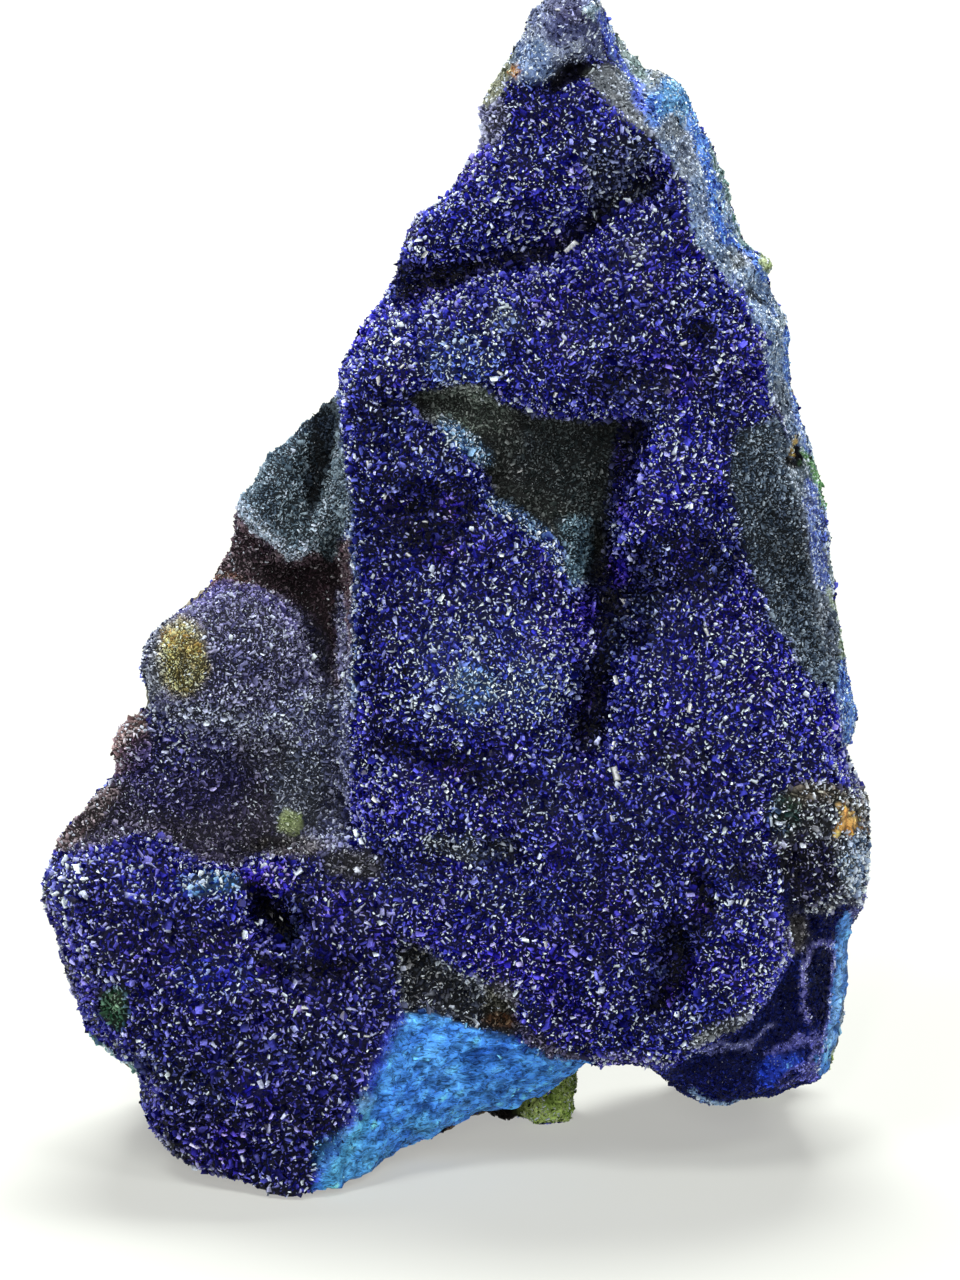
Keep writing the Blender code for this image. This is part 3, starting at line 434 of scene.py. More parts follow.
    (line(6, 694, 122, 704, 140, 712, 172, 719, 205, 726, 228, 744, 246, 762, 272, 776, 294), 3.5, 0.95,
     crust(82, 126, 224)),
    (line(5, 716, 140, 726, 166, 735, 196, 744, 226, 750, 240), 4, 0.85, crust(104, 132, 122)),
    (spot(740, 205, 8, 12), 4, 0.7, crust(92, 146, 122)),
    (spot(770, 264, 11, 14), 3, 0.95, crust(150, 166, 118)),
    (spot(742, 268, 12, 18), 6, 0.6, crust(146, 152, 150)),
    (spot(756, 304, 9, 6), 3, 0.9, crust(10, 10, 12)),
    (line(5, 790, 318, 792, 345, 790, 375, 796, 400), 3.5, 0.92, crust(86, 126, 220)),
    (spot(785, 306, 10, 8), 4, 0.7, crust(150, 168, 170)),
    (line(5, 800, 410, 808, 432, 812, 446), 3.5, 0.85, crust(112, 138, 216)),
    (spot(795, 432, 5, 6), 2, 0.95, crust(216, 186, 112)),
    (area(784, 444, 800, 440, 802, 462, 784, 464), 3, 0.97, crust(6, 6, 10)),
    (line(8, 808, 448, 814, 464, 822, 485, 828, 505), 4, 0.95, crust(118, 168, 112)),
    (area(784, 462, 808, 458, 816, 492, 812, 520, 800, 500, 790, 480), 5, 0.9, crust(112, 126, 140)),
    (line(7, 812, 494, 819, 524, 824, 552, 827, 582), 5, 0.9, crust(106, 128, 208)),
    (line(5, 832, 510, 836, 540, 836, 566), 3, 0.8, crust(150, 170, 172)),
    (line(6, 834, 585, 842, 612, 846, 640, 848, 655), 4, 0.9, crust(164, 184, 156)),
    (spot(836, 535, 4, 7), 2, 0.9, crust(14, 14, 12)),
    (spot(843, 626, 5, 6), 2, 0.9, crust(18, 24, 18)),
    (area(838, 668, 852, 664, 864, 690, 864, 715, 858, 738, 846, 742, 842, 715, 836, 690), 4, 0.95,
     crust(88, 124, 206, 0.1)),
    (line(3, 838, 680, 842, 715, 842, 736), 3, 0.5, crust(128, 146, 190)),
    (area(872, 895, 862, 918, 852, 940, 846, 925, 856, 905), 5, 0.8, crust(124, 128, 186)),
    (line(3.4, 838, 812, 848, 821, 862, 812), 2, 1.0, crust(255, 214, 140, 0.9)),
    (line(3.0, 838, 832, 848, 821, 868, 825), 2, 1.0, crust(255, 206, 124, 0.9)),
    (line(2.8, 847, 806, 848, 821, 853, 833), 2, 1.0, crust(250, 186, 104, 0.9)),
    (line(9, 849, 930, 847, 955, 848, 985, 844, 1015, 838, 1045, 828, 1072), 3, 0.95,
     crust(84, 142, 220, 0.9)),
    (line(2.5, 846, 940, 844, 975, 844, 1010, 834, 1050), 3, 0.6, crust(142, 188, 236, 0.9)),
    (line(2, 837, 940, 836, 975, 835, 1010, 825, 1050, 815, 1072), 2, 0.7, crust(112, 116, 200)),
    (line(3, 852, 1005, 848, 1030, 840, 1058), 2.5, 0.6, crust(150, 160, 130)),
    # azure fracture face with its violet left border
    (area(404, 1016, 432, 1012, 470, 1028, 516, 1040, 548, 1058, 592, 1064, 586, 1090, 500, 1140,
     420, 1172, 370, 1210, 312, 1216, 318, 1182, 345, 1132, 366, 1100, 380, 1060), 5, 0.98,
     crust(76, 146, 234, 1.0)),
    (line(5, 402, 1020, 382, 1058, 366, 1098, 344, 1132, 318, 1180), 5, 0.75, crust(62, 74, 200, 0.5)),
    (line(7, 366, 1120, 350, 1148, 330, 1186), 8, 0.5, crust(70, 150, 160, 0.8)),
    (spot(350, 1160, 34, 28), 14, 0.6, crust(64, 130, 176, 0.8)),
    (spot(422, 1128, 14, 10), 6, 0.5, crust(70, 134, 150, 1.0)),
    (spot(366, 1104, 9, 14), 6, 0.5, crust(98, 152, 156, 0.8)),
    (spot(472, 1070, 15, 18), 10, 0.5, crust(36, 98, 180, 1.0)),
    (spot(520, 1072, 14, 10), 8, 0.4, crust(44, 108, 184, 1.0)),
    (spot(500, 1090, 60, 26), 22, 0.35, crust(78, 146, 212, 1.0)),
    (spot(470, 1052, 26, 10), 10, 0.3, crust(30, 92, 184, 1.0)),
    (spot(545, 1084, 20, 10), 8, 0.4, crust(34, 100, 190, 1.0)),
]

# Single pale flakes painted white as larger glints: column, row, size in millimetres
GLINT_FLAKES = [
    (572, 246, 1.9), (425, 255, 1.2), (370, 345, 0.9), (395, 340, 0.8), (403, 368, 0.7),
    (378, 383, 1.1), (688, 708, 1.1), (708, 632, 1.0), (587, 662, 0.8), (617, 680, 1.2),
    (545, 946, 1.0), (745, 904, 0.9), (376, 800, 1.1), (367, 1038, 0.7), (650, 512, 0.7),
    (674, 610, 0.6), (512, 178, 0.8), (495, 168, 0.8), (545, 125, 0.7), (680, 344, 0.9),
    (650, 288, 0.8), (518, 238, 0.8), (555, 396, 0.8), (616, 774, 1.7), (615, 744, 1.0),
    (367, 464, 0.8), (426, 520, 0.8), (410, 556, 0.8), (508, 518, 0.8), (680, 458, 0.7),
    (143, 928, 0.9), (118, 935, 0.6), (283, 920, 0.6), (306, 1008, 0.9), (470, 640, 1.0),
    (387, 495, 0.7), (396, 672, 0.7), (500, 375, 0.7), (685, 870, 0.7), (612, 820, 0.8),
    (558, 14, 0.6), (610, 280, 0.6), (562, 345, 0.6), (735, 452, 0.5), (848, 748, 0.6),
]


def zone_weight(shape, places, edge):
    """How much of a zone's shape covers each place, 0 to 1."""
    if shape[0] == "area":
        distance = line_distance(places, shape[1], True)
        signed = np.where(inside(places, shape[1]), distance, -distance)
    elif shape[0] == "line":
        signed = shape[2] - line_distance(places, shape[1], False)
    else:
        across = (places[:, 0] - shape[1]) / shape[3]
        down = (places[:, 1] - shape[2]) / shape[4]
        signed = (1.0 - np.hypot(across, down)) * min(shape[3], shape[4])
    return smooth(signed, -0.5 * edge, 0.5 * edge)


def reach(shape, edge):
    """Grid box that a zone can touch."""
    if shape[0] == "spot":
        return (shape[1] - shape[3] - edge, shape[1] + shape[3] + edge,
                shape[2] - shape[4] - edge, shape[2] + shape[4] + edge)
    wide = edge + (shape[2] if shape[0] == "line" else 0.0)
    columns = [point[0] for point in shape[1]]
    rows = [point[1] for point in shape[1]]
    return (min(columns) - wide, max(columns) + wide, min(rows) - wide, max(rows) + wide)


def lay(looks, index, weight, change):
    """Blend new values over the looks of the given places."""
    for key, value in change.items():
        goal = linear(*value) if key == "colour" else value
        share = weight[:, None] if key == "colour" else weight
        looks[key][index] = looks[key][index] * (1.0 - share) + goal * share


# How far the edges of zones stray, in grid steps: in broad waves, in fine ones, and up and
# down on the right flank, which starts so many millimetres behind the face and leans back
BROAD_WANDER, FINE_WANDER, FLANK_WANDER = 4.2, 1.8, 26.0
FLANK_START, FLANK_LEAN = 4.0, 0.1405


def strayed(points, column, row, back):
    """Face places shifted a little, so that no zone has a straight edge."""
    wander = np.stack([grain(points, 1.9, 71), grain(points, 1.9, 83)], axis=1) * BROAD_WANDER
    near = points / 0.3
    wander += np.stack([value_noise(near, 5), value_noise(near, 6)], axis=1) * FINE_WANDER
    deep = smooth(back - FLANK_START + FLANK_LEAN * (FOOT - row) * STEP, 3.0, 9.0)
    flank = deep * smooth(column, 600.0, 700.0)
    wander[:, 1] += FLANK_WANDER * flank * grain(points, 4.5, 107)
    return np.stack([column, row], axis=1) + wander


def face_looks(points):
    """Colour, crystal size and height, cover, roughness, share of painted glints and of fracture."""
    column, row, back = to_face(points)
    places = strayed(points, column, row, back)
    count = len(points)
    looks = {key: np.full(count, value) for key, value in DRUSE.items() if key != "colour"}
    looks["colour"] = np.tile(linear(*DRUSE["colour"]), (count, 1))
    for shape, edge, strength, change in ZONES:
        low_c, high_c, low_r, high_r = reach(shape, edge)
        near = (places[:, 0] > low_c) & (places[:, 0] < high_c)
        near &= (places[:, 1] > low_r) & (places[:, 1] < high_r)
        index = np.nonzero(near)[0]
        if len(index) == 0:
            continue
        weight = zone_weight(shape, places[index], edge) * strength
        lay(looks, index, weight, change)
    # the feet are near-black as painted shade under the rock, with green malachite on their right part
    feet = np.nonzero((row > 1050) & (back > 15.0))[0]
    green = smooth(column[feet] + 6.0 * value_noise(points[feet] / 0.5, 9), 516, 528)
    lay(looks, feet, np.ones(len(feet)), crust(16, 13, 10))
    lay(looks, feet, green, crust(156, 180, 98))
    drift = grain(points, 2.6, 91)
    grey = 0.3 * smooth(drift, 0.15, 0.6) * smooth(looks["tall"], 0.6, 0.9)
    lay(looks, np.arange(count), 0.6 * grey, look(40, 52, 84))
    violet = 0.3 * smooth(-drift, 0.2, 0.6) * smooth(-looks["rough"], -0.36, -0.2)
    lay(looks, np.arange(count), violet, look(36, 18, 130))
    dull = smooth(looks["tall"], 0.9, 0.6)
    mottle = (0.34 - 0.2 * looks["broken"]) * grain(points, 1.5, 95) + 0.22 * grain(points, 4.0, 93)
    mottle += 0.65 * dull * grain(points, 0.75, 97)
    mottle += 0.5 * looks["broken"] * grain(points, 0.6, 99)
    strongest = np.maximum(looks["colour"].max(axis=1, keepdims=True), 1e-5)
    looks["colour"] *= np.exp(mottle[:, None] * (1.4 - looks["colour"] / strongest * 0.7))
    looks["glint"] *= 1.0 - looks["broken"]
    looks["cover"] *= 1.0 - 0.95 * smooth(looks["broken"], 0.3, 0.9)
    return looks


def back_looks(points):
    """Crust of the sides and the back: brown iron stain, grey rock, green malachite, and how
    much of it is azurite."""
    count = len(points)
    broad = grain(points, 14.0, 101)
    patch = grain(points + 40.0, 9.0, 121)
    fine = grain(points, 2.2, 141)
    colour = np.tile(linear(92, 86, 74), (count, 1))

    def wash(weight, tone):
        share = np.clip(weight, 0.0, 1.0)[:, None]
        colour[:] = colour * (1.0 - share) + linear(*tone) * share

    wash(smooth(broad + 0.4 * fine, -0.05, 0.35), (84, 62, 44))
    wash(smooth(-broad + 0.3 * fine, 0.05, 0.4), (98, 104, 96))
    wash(0.6 * smooth(patch + 0.5 * fine, 0.10, 0.6), (78, 88, 68))
    wash(0.6 * smooth(patch + 0.8 * fine, 0.40, 0.80), (88, 104, 74))
    wash(0.85 * smooth(-patch + 0.5 * fine, 0.40, 0.56), (24, 27, 62))
    wash(0.6 * smooth(grain(points, 1.1, 161), 0.1, 0.5), (40, 34, 30))
    wash(0.5 * smooth(grain(points, 0.9, 181), 0.3, 0.6), (146, 140, 120))
    wash(0.4 * smooth(grain(points, 3.6, 191), 0.2, 0.5), (58, 48, 40))
    return colour, smooth(-patch + 0.5 * fine, 0.44, 0.56)


def relaxed(values, edges, rounds, keep=0.0):
    """Values averaged with their neighbours along the mesh."""
    first, second = edges[:, 0], edges[:, 1]
    count = np.bincount(first, minlength=len(values)) + np.bincount(second, minlength=len(values))
    count = np.maximum(count, 1)
    flat = values.ndim == 1
    work = values[:, None].copy() if flat else values.copy()
    for _ in range(rounds):
        total = np.zeros_like(work)
        for axis in range(work.shape[1]):
            total[:, axis] = np.bincount(first, work[second, axis], minlength=len(work))
            total[:, axis] += np.bincount(second, work[first, axis], minlength=len(work))
        mean = total / count[:, None]
        work = work * keep + mean * (1.0 - keep)
    return work[:, 0] if flat else work


def read(source, field, width, kind=np.float32):
    """Rows of numbers read from a mesh."""
    data = np.zeros(len(source) * width, dtype=kind)
    source.foreach_get(field, data)
    return data.reshape(-1, width)


def vertex_array(mesh):
    """Vertices in millimetres."""
    return read(mesh.vertices, "co", 3).astype(float) * 1000.0


def normal_array(mesh):
    return read(mesh.vertex_normals, "vector", 3).astype(float)


def unit(vectors):
    return vectors / np.linalg.norm(vectors, axis=1)[:, None]


def add_object(name, data):
    made = bpy.data.objects.new(name, data)
    bpy.context.scene.collection.objects.link(made)
    return made


def set_vertices(mesh, points):
    mesh.vertices.foreach_set("co", (points / 1000.0).astype(np.float32).ravel())
    mesh.update()


def paint(mesh, name, colour):
    layer = mesh.color_attributes.new(name=name, type="FLOAT_COLOR", domain="POINT")
    data = np.ones((len(colour), 4), dtype=np.float32)
    data[:, :3] = colour
    layer.data.foreach_set("color", data.ravel())


def weigh(mesh, name, values):
    layer = mesh.attributes.new(name=name, type="FLOAT", domain="POINT")
    layer.data.foreach_set("value", values.astype(np.float32))


# Width of the skin's mesh in metres
VOXEL = 0.00046


def fine_skin():
    """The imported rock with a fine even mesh."""
    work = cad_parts["azurite_specimen"].data.copy()
    joined = bmesh.new()
    joined.from_mesh(work)
    bmesh.ops.remove_doubles(joined, verts=joined.verts, dist=1e-6)
    joined.to_mesh(work)
    joined.free()
    work.materials.clear()
    helper = add_object("skin_work", work)
    remesh = helper.modifiers.new("even", "REMESH")
    remesh.mode = "VOXEL"
    remesh.voxel_size = VOXEL
    graph = bpy.context.evaluated_depsgraph_get()
    mesh = bpy.data.meshes.new_from_object(helper.evaluated_get(graph))
    bpy.data.objects.remove(helper, do_unlink=True)
    bpy.data.meshes.remove(work)
    return mesh


def seen_from_front(mesh, points, normals):
    """One where nothing of the rock hides a point from the front."""
    lift, far = 0.0002, 0.08
    tree = BVHTree.FromPolygons(
        (points / 1000.0).tolist(), [tuple(face.vertices) for face in mesh.polygons])
    toward = Vector(-AWAY)
    seen = np.zeros(len(points))
    facing = -(normals @ AWAY)
    starts = points / 1000.0 + normals * lift - AWAY * lift
    for index in np.nonzero(facing > -0.25)[0]:
        hit = tree.ray_cast(Vector(starts[index]), toward, far)
        if hit[0] is None:
            seen[index] = 1.0
    return seen


# Stretches the noise of the fracture face along its slanting fibres
FIBRES = np.array([(0.75, 0.0, 0.35), (0.0, 0.7, 0.0), (-1.1, 0.0, 2.2)])


def make_skin():
    """The painted skin, and how much each of its places is front and is azurite at the back."""
    mesh = fine_skin()
    points = vertex_array(mesh)
    edges = read(mesh.edges, "vertices", 2, np.int32)
    normals = normal_array(mesh)
    seen = relaxed(seen_from_front(mesh, points, normals), edges, 3)
    looks = face_looks(points)
    front = smooth(seen, 0.25, 0.65)
    calm = relaxed(points, edges, 6, keep=0.2)
    calm += (relaxed(calm, edges, 12) - calm) * (1.0 - front)[:, None]
    low = smooth(looks["tall"], 0.95, 0.55)
    ease = np.clip(0.35 + 0.25 * low * front + 0.65 * (1.0 - front), 0.0, 1.0)[:, None]
    points = points * (1.0 - ease) + calm * ease
    wide = relaxed(points, edges, 30)
    broad = relaxed(wide, edges, 160)
    set_vertices(mesh, points)
    normals = normal_array(mesh)
    hollow = ((wide - points) * normals).sum(axis=1)
    valley = ((broad - wide) * normals).sum(axis=1)
    sink = front * looks["cover"] * looks["tall"] * (0.10 + 0.22 * looks["size"])
    rough = 0.10 * grain(points, 0.9, 201) * front
    crag = 1.0 * np.abs(grain(points, 5.0, 211)) + 0.50 * np.abs(grain(points, 1.9, 221))
    crag += 0.12 * grain(points, 0.7, 223, 1)
    rough += (1.0 - front) * (crag - 0.48)
    rough += front * low * (0.24 * grain(points, 1.5, 231) + 0.12 * grain(points, 0.6, 233) - 0.08)
    ripple = grain(points @ FIBRES, 0.9, 241, 2)
    rough += front * looks["broken"] * (0.24 * ripple + 0.06 * grain(points, 0.45, 251))
    points = points + normals * (rough - sink)[:, None]
    set_vertices(mesh, np.clip(points, *BOX))

    stain_and_relief_shade, azure = back_looks(points)
    # painted shade in the lows of the crag relief and painted highlight on its crests
    stain_and_relief_shade *= np.clip(0.52 + 1.0 * crag, 0.45, 1.5)[:, None]
    share = front[:, None]
    colour = looks["colour"] * share + stain_and_relief_shade * (1.0 - share)
    # painted shade on the skin under and between the crystals
    shade_under_crystals = front * looks["cover"] * smooth(looks["tall"], 0.3, 1.0)
    colour *= (1.0 - 0.88 * shade_under_crystals)[:, None]
    # painted shade in the ripple's lows and painted highlight on its crests, on the fracture face
    colour *= np.clip(1.0 + 0.7 * front * looks["broken"] * ripple, 0.4, 1.6)[:, None]
    # painted shade in hollows and painted highlight on crests, in the skin's colour
    shade = np.clip(1.0 - 0.55 * smooth(hollow, 0.05, 0.7), 0.3, 1.0)
    lift = 1.0 + 0.35 * smooth(-hollow, 0.1, 0.8)
    colour *= (shade * lift)[:, None]
    paint(mesh, "tint", np.clip(colour, 0.0, 1.0))
    # painted shade in broad valleys and painted highlight on broad bulges, with the fine ones, kept as
    # the shade that the crystals take
    broad_shade = np.clip(1.0 - 0.5 * smooth(valley, 0.1, 1.4), 0.4, 1.0)
    bulge_highlight = 1.0 + 0.25 * smooth(-valley, 0.1, 1.2)
    weigh(mesh, "shade", broad_shade * bulge_highlight * shade * (0.5 + 0.5 * lift))
    weigh(mesh, "gloss", looks["rough"] * front + 0.72 * (1.0 - front))
    weigh(mesh, "ripple", looks["broken"] * front)
    mesh.polygons.foreach_set("use_smooth", np.ones(len(mesh.polygons), dtype=bool))
    return add_object("rock_skin", mesh), front, azure


# How the crystals are spread: places tried, distance kept as a share of a crystal's size,
# width in millimetres of the cells where near ones are looked up, most triangles in a piece,
# and how many more stand in the azurite patches at the back
WANTED, SPACING, CELL, MOST_FACES, BACK_DENSITY = 400000, 0.60, 0.5, 190000, 9.0
# How far they lean, how their sizes vary, where blades end and wedges end in the draw of
# their kind, and the painted shade at their root and painted highlight at their tip
LEAN, GLINT_FLAKE_LEAN = math.radians(46.0), math.radians(30.0)
SIZE_SPREAD, SMALLEST, LARGEST = 0.38, 0.55, 1.9
BLADES_END, WEDGES_END = 0.04, 0.55
ROOT_SHADE, TIP_HIGHLIGHT = 0.15, 1.25

# Crystal forms, one unit to each side and one high, with their faces
SQUARE = [(-1.0, -1.0, 0.0), (1.0, -1.0, 0.0), (1.0, 1.0, 0.0), (-1.0, 1.0, 0.0)]
ROOF = np.array(SQUARE + [(-0.62, -0.12, 1.0), (0.66, 0.10, 0.94)])
ROOF_FACES = np.array([
    (0, 3, 2), (0, 2, 1), (0, 1, 5), (0, 5, 4), (2, 3, 4), (2, 4, 5), (1, 2, 5), (3, 0, 4),
])
SPIKE = np.array([(-1.0, -0.8, 0.0), (1.0, -0.7, 0.0), (0.1, 1.0, 0.0), (0.25, 0.1, 1.0)])
SPIKE_FACES = np.array([(0, 2, 1), (0, 1, 3), (1, 2, 3), (2, 0, 3)])
BLADE = np.array(SQUARE + [
    (-0.7, -0.62, 0.62), (0.75, -0.5, 0.80), (0.62, 0.6, 1.0), (-0.66, 0.52, 0.86),
])
BLADE_FACES = np.array([
    (0, 3, 2), (0, 2, 1), (0, 1, 5), (0, 5, 4), (1, 2, 6), (1, 6, 5), (2, 3, 7), (2, 7, 6),
    (3, 0, 4), (3, 4, 7), (4, 5, 6), (4, 6, 7),
])


def scattered(mesh, density, seed, front, shade):
    """Places spread over the skin's triangles, with the skin's front share and shade."""
    mesh.calc_loop_triangles()
    corners = read(mesh.loop_triangles, "vertices", 3, np.int32)
    points = vertex_array(mesh)
    normals = normal_array(mesh)
    weight = density[corners].mean(axis=1)
    a, b, c = points[corners[:, 0]], points[corners[:, 1]], points[corners[:, 2]]
    size = 0.5 * np.linalg.norm(np.cross(b - a, c - a), axis=1) * weight
    chance = np.random.RandomState(seed)
    pick = chance.choice(len(size), WANTED, p=size / size.sum())
    r = np.sqrt(chance.rand(WANTED))
    s = chance.rand(WANTED)
    mix = np.stack([1.0 - r, r * (1.0 - s), r * s], axis=1)
    near = corners[pick]
    place = (points[near] * mix[:, :, None]).sum(axis=1)
    normal = unit((normals[near] * mix[:, :, None]).sum(axis=1))
    return place, normal, (front[near] * mix).sum(axis=1), (shade[near] * mix).sum(axis=1)


def crowded(cells, key, place, gap):
    """Whether a kept place lies nearer than the gap."""
    for step in itertools.product((-1, 0, 1), repeat=3):
        for other in cells.get((key[0] + step[0], key[1] + step[1], key[2] + step[2]), ()):
            apart = (other[0] - place[0]) ** 2 + (other[1] - place[1]) ** 2
            apart += (other[2] - place[2]) ** 2
            if apart < gap * gap:
                return True
    return False


def thinned(places, sizes):
    """Index of places that keep their distance, found cell by cell."""
    kept = []
    cells = {}
    for index, (place, size) in enumerate(zip(places.tolist(), sizes.tolist())):
        key = tuple(int(value // CELL) for value in place)
        if not crowded(cells, key, place, size * SPACING):
            cells.setdefault(key, []).append(place)
            kept.append(index)
    return np.array(kept)


def crystal_mesh(name, shape, faces, place, normal, half, colour, rough, seed, lean):
    """One mesh of separate closed crystals, each turned and bent a little."""
    chance = np.random.RandomState(seed)
    count = len(place)
    turn = chance.normal(size=(count, 3))
    side = unit(np.cross(normal, turn))
    tilt = np.tan(lean * chance.rand(count) ** 0.7)[:, None]
    axis = normal + np.cross(side, normal) * tilt
    axis += side * (0.5 * tilt * chance.uniform(-1.0, 1.0, (count, 1)))
    axis = unit(axis)
    spin = chance.normal(size=(count, 3))
    long_way = unit(np.cross(axis, spin))
    wide_way = np.cross(axis, long_way)
    local = np.tile(shape, (count, 1, 1))
    foot = shape[:, 2] < 0.01
    local = local + chance.uniform(-0.2, 0.2, local.shape) * np.array([1.0, 1.0, 0.5])
    local[:, foot, 2] = 0.0
    verts = place[:, None, :] + local[:, :, 0:1] * (long_way * half[:, 0:1])[:, None, :]
    verts = verts + local[:, :, 1:2] * (wide_way * half[:, 1:2])[:, None, :]
    verts = verts + local[:, :, 2:3] * (axis * half[:, 2:3])[:, None, :]
    corners = shape.shape[0]
    index = (np.arange(count) * corners)[:, None, None] + faces[None, :, :]
    mesh = bpy.data.meshes.new(name)
    verts = np.clip(verts.reshape(-1, 3), *BOX)
    mesh.from_pydata((verts / 1000.0).tolist(), [], index.reshape(-1, 3).tolist())
    # painted shade at each crystal's root, painted highlight at its tip
    root_shade_tip_highlight = np.tile(np.where(foot, ROOT_SHADE, TIP_HIGHLIGHT), count)
    paint(mesh, "tint", np.clip(np.repeat(colour, corners, axis=0) * root_shade_tip_highlight[:, None], 0.0, 1.0))
    weigh(mesh, "gloss", np.repeat(rough, corners))
    return add_object(name, mesh)


def crystal_colours(looks, place, chance):
    """Colour of each crystal and its random draw, which keeps most dark and makes some pale as painted
    glints.
    """
    full = smooth(looks["tall"], 0.6, 0.9)[:, None]
    fresh = full * smooth(-looks["rough"], -0.36, -0.2)[:, None]
    base = looks["colour"] * (1.24 + 0.65 * full + 0.64 * fresh)
    glint_and_tone = chance.normal(size=len(place)) + 0.3 * grain(place, 1.1, 301)
    # pale crystals are painted glints: the bright side of the draw is raised where a zone has more of
    # them
    rise = 0.20 + 0.92 * np.clip(looks["glint"] / DRUSE["glint"], 0.0, 1.25)
    glint_and_tone = np.where(glint_and_tone > 0.0, glint_and_tone * rise, glint_and_tone)
    lack = 1.0 - base / np.maximum(base.max(axis=1, keepdims=True), 1e-5)
    swing = 1.15 - 0.42 * full + 0.58 * fresh + (0.45 + 0.75 * fresh) * lack
    colour = base * np.exp(swing * glint_and_tone[:, None])
    # the palest are held under a bluish white, the colour of the painted glints
    glint_ceiling = np.array([0.70, 0.79, 1.0])
    eased = glint_ceiling - 0.25 * glint_ceiling * glint_ceiling / np.maximum(colour, 1e-6)
    return np.where(colour > 0.5 * glint_ceiling, eased, colour), glint_and_tone


def make_crystals(skin, front, azure):
    """The druse: places drawn on the skin and thinned out, then sized, coloured and shaped."""
    mesh = skin.data
    looks = face_looks(vertex_array(mesh))
    want = front * looks["cover"] / np.maximum(looks["size"], 0.2) ** 2
    want += (1.0 - front) * azure * BACK_DENSITY
    shade = read(mesh.attributes["shade"].data, "value", 1)[:, 0]
    place, normal, share, shade = scattered(mesh, want, 31, front, shade)
    looks = face_looks(place)
    behind = np.nonzero(share < 0.5)[0]
    lay(looks, behind, np.ones(len(behind)), BACK_DRUSE)
    # the crystals take the skin's painted shade and highlight
    looks["colour"] *= shade[:, None]
    chance = np.random.RandomState(37)
    keep = chance.rand(len(place)) < looks["cover"]
    place, normal = place[keep], normal[keep]
    looks = {key: value[keep] for key, value in looks.items()}
    spread = np.exp(chance.normal(0.0, SIZE_SPREAD, len(place)))
    size = 0.95 * looks["size"] * np.clip(spread, SMALLEST, LARGEST)
    kept = thinned(place, size)
    place, normal, size = place[kept], normal[kept], size[kept]
    looks = {key: value[kept] for key, value in looks.items()}
    count = len(place)
    half = np.stack([
        size * chance.uniform(0.40, 0.75, count),
        size * chance.uniform(0.20, 0.42, count),
        size * chance.uniform(0.60, 1.10, count) * looks["tall"],
    ], axis=1)
    colour, glint_and_tone = crystal_colours(looks, place, chance)
    half *= np.exp(-0.06 * np.clip(glint_and_tone, -1.0, 2.0))[:, None]
    rough = np.clip(looks["rough"] + chance.normal(0.0, 0.05, count), 0.08, 0.8)
    place = place - normal * (0.25 * size * looks["tall"])[:, None]
    parts = []
    kind = chance.rand(count) + np.where(size > 0.60, -0.10, 0.0)
    groups = [(BLADE, BLADE_FACES, kind < BLADES_END, "blades"),
              (ROOF, ROOF_FACES, (kind >= BLADES_END) & (kind < WEDGES_END), "wedges"),
              (SPIKE, SPIKE_FACES, kind >= WEDGES_END, "spikes")]
    for shape, faces, belongs, name in groups:
        members = np.nonzero(belongs)[0]
        most = MOST_FACES // len(faces)
        pieces = max(1, math.ceil(len(members) / most))
        for part in range(pieces):
            chosen = members[part::pieces]
            parts.append(crystal_mesh(
                f"{name}_{part + 1}", shape, faces, place[chosen], normal[chosen],
                half[chosen], np.clip(colour[chosen], 0.0, 1.0), rough[chosen],
                51 + 7 * part + len(faces), LEAN))
    return parts


def make_glint_flakes(skin):
    """Single thin pale flakes that stand out of the druse, painted white as larger glints."""
    points = vertex_array(skin.data)
    normals = normal_array(skin.data)
    column, row, back = to_face(points)
    facing = -(normals @ AWAY) > 0.1
    chance = np.random.RandomState(61)
    place, normal, half = [], [], []
    for at_column, at_row, size in GLINT_FLAKES:
        away = np.hypot(column - at_column, row - at_row) + np.where(facing, 0.0, 1e6)
        away += np.maximum(back - back[facing][np.argmin(away[facing])], 0.0)
        nearest = int(np.argmin(away))
        place.append(points[nearest] + normals[nearest] * 0.05)
        normal.append(normals[nearest])
        half.append((0.36 * size, 0.16 * size, 0.24 * size))
    count = len(place)
    # white colour as painted glints
    colour = np.tile(np.array([0.80, 0.82, 0.84]), (count, 1))
    colour *= chance.uniform(0.75, 1.0, count)[:, None]
    return crystal_mesh(
        "glint_flakes", ROOF, ROOF_FACES, np.array(place), np.array(normal), np.array(half),
        colour, np.full(count, 0.25), 67, GLINT_FLAKE_LEAN)


# Materials

def new_material(name):
    material = bpy.data.materials.new(name)
    material.use_nodes = True
    tree = material.node_tree
    return material, tree, tree.nodes["Principled BSDF"]


def feed(tree, target, inputs):
    """Set a node's inputs to values, or link them to other nodes' outputs."""
    for key, value in inputs.items():
        if isinstance(value, bpy.types.NodeSocket):
            tree.links.new(value, target.inputs[key])
        else:
            target.inputs[key].default_value = value


def node(tree, kind, output, inputs, **settings):
    """One output of a new shader node."""
    made = tree.nodes.new("ShaderNode" + kind)
    for key, value in settings.items():
        setattr(made, key, value)
    feed(tree, made, inputs)
    return made.outputs[output]


def attribute(tree, name, output="Fac"):
    return node(tree, "Attribute", output, {}, attribute_name=name)


def ranged(tree, value, low, high, to_low, to_high):
    """A value of the first range brought to the second."""
    return node(tree, "MapRange", "Result", {
        "Value": value, "From Min": low, "From Max": high, "To Min": to_low, "To Max": to_high})


def scaled(tree, vector, scale):
    return node(tree, "VectorMath", "Vector", {0: vector, "Scale": scale}, operation="SCALE")


def maths(tree, operation, *values):
    return node(tree, "Math", "Value", dict(enumerate(values)), operation=operation)


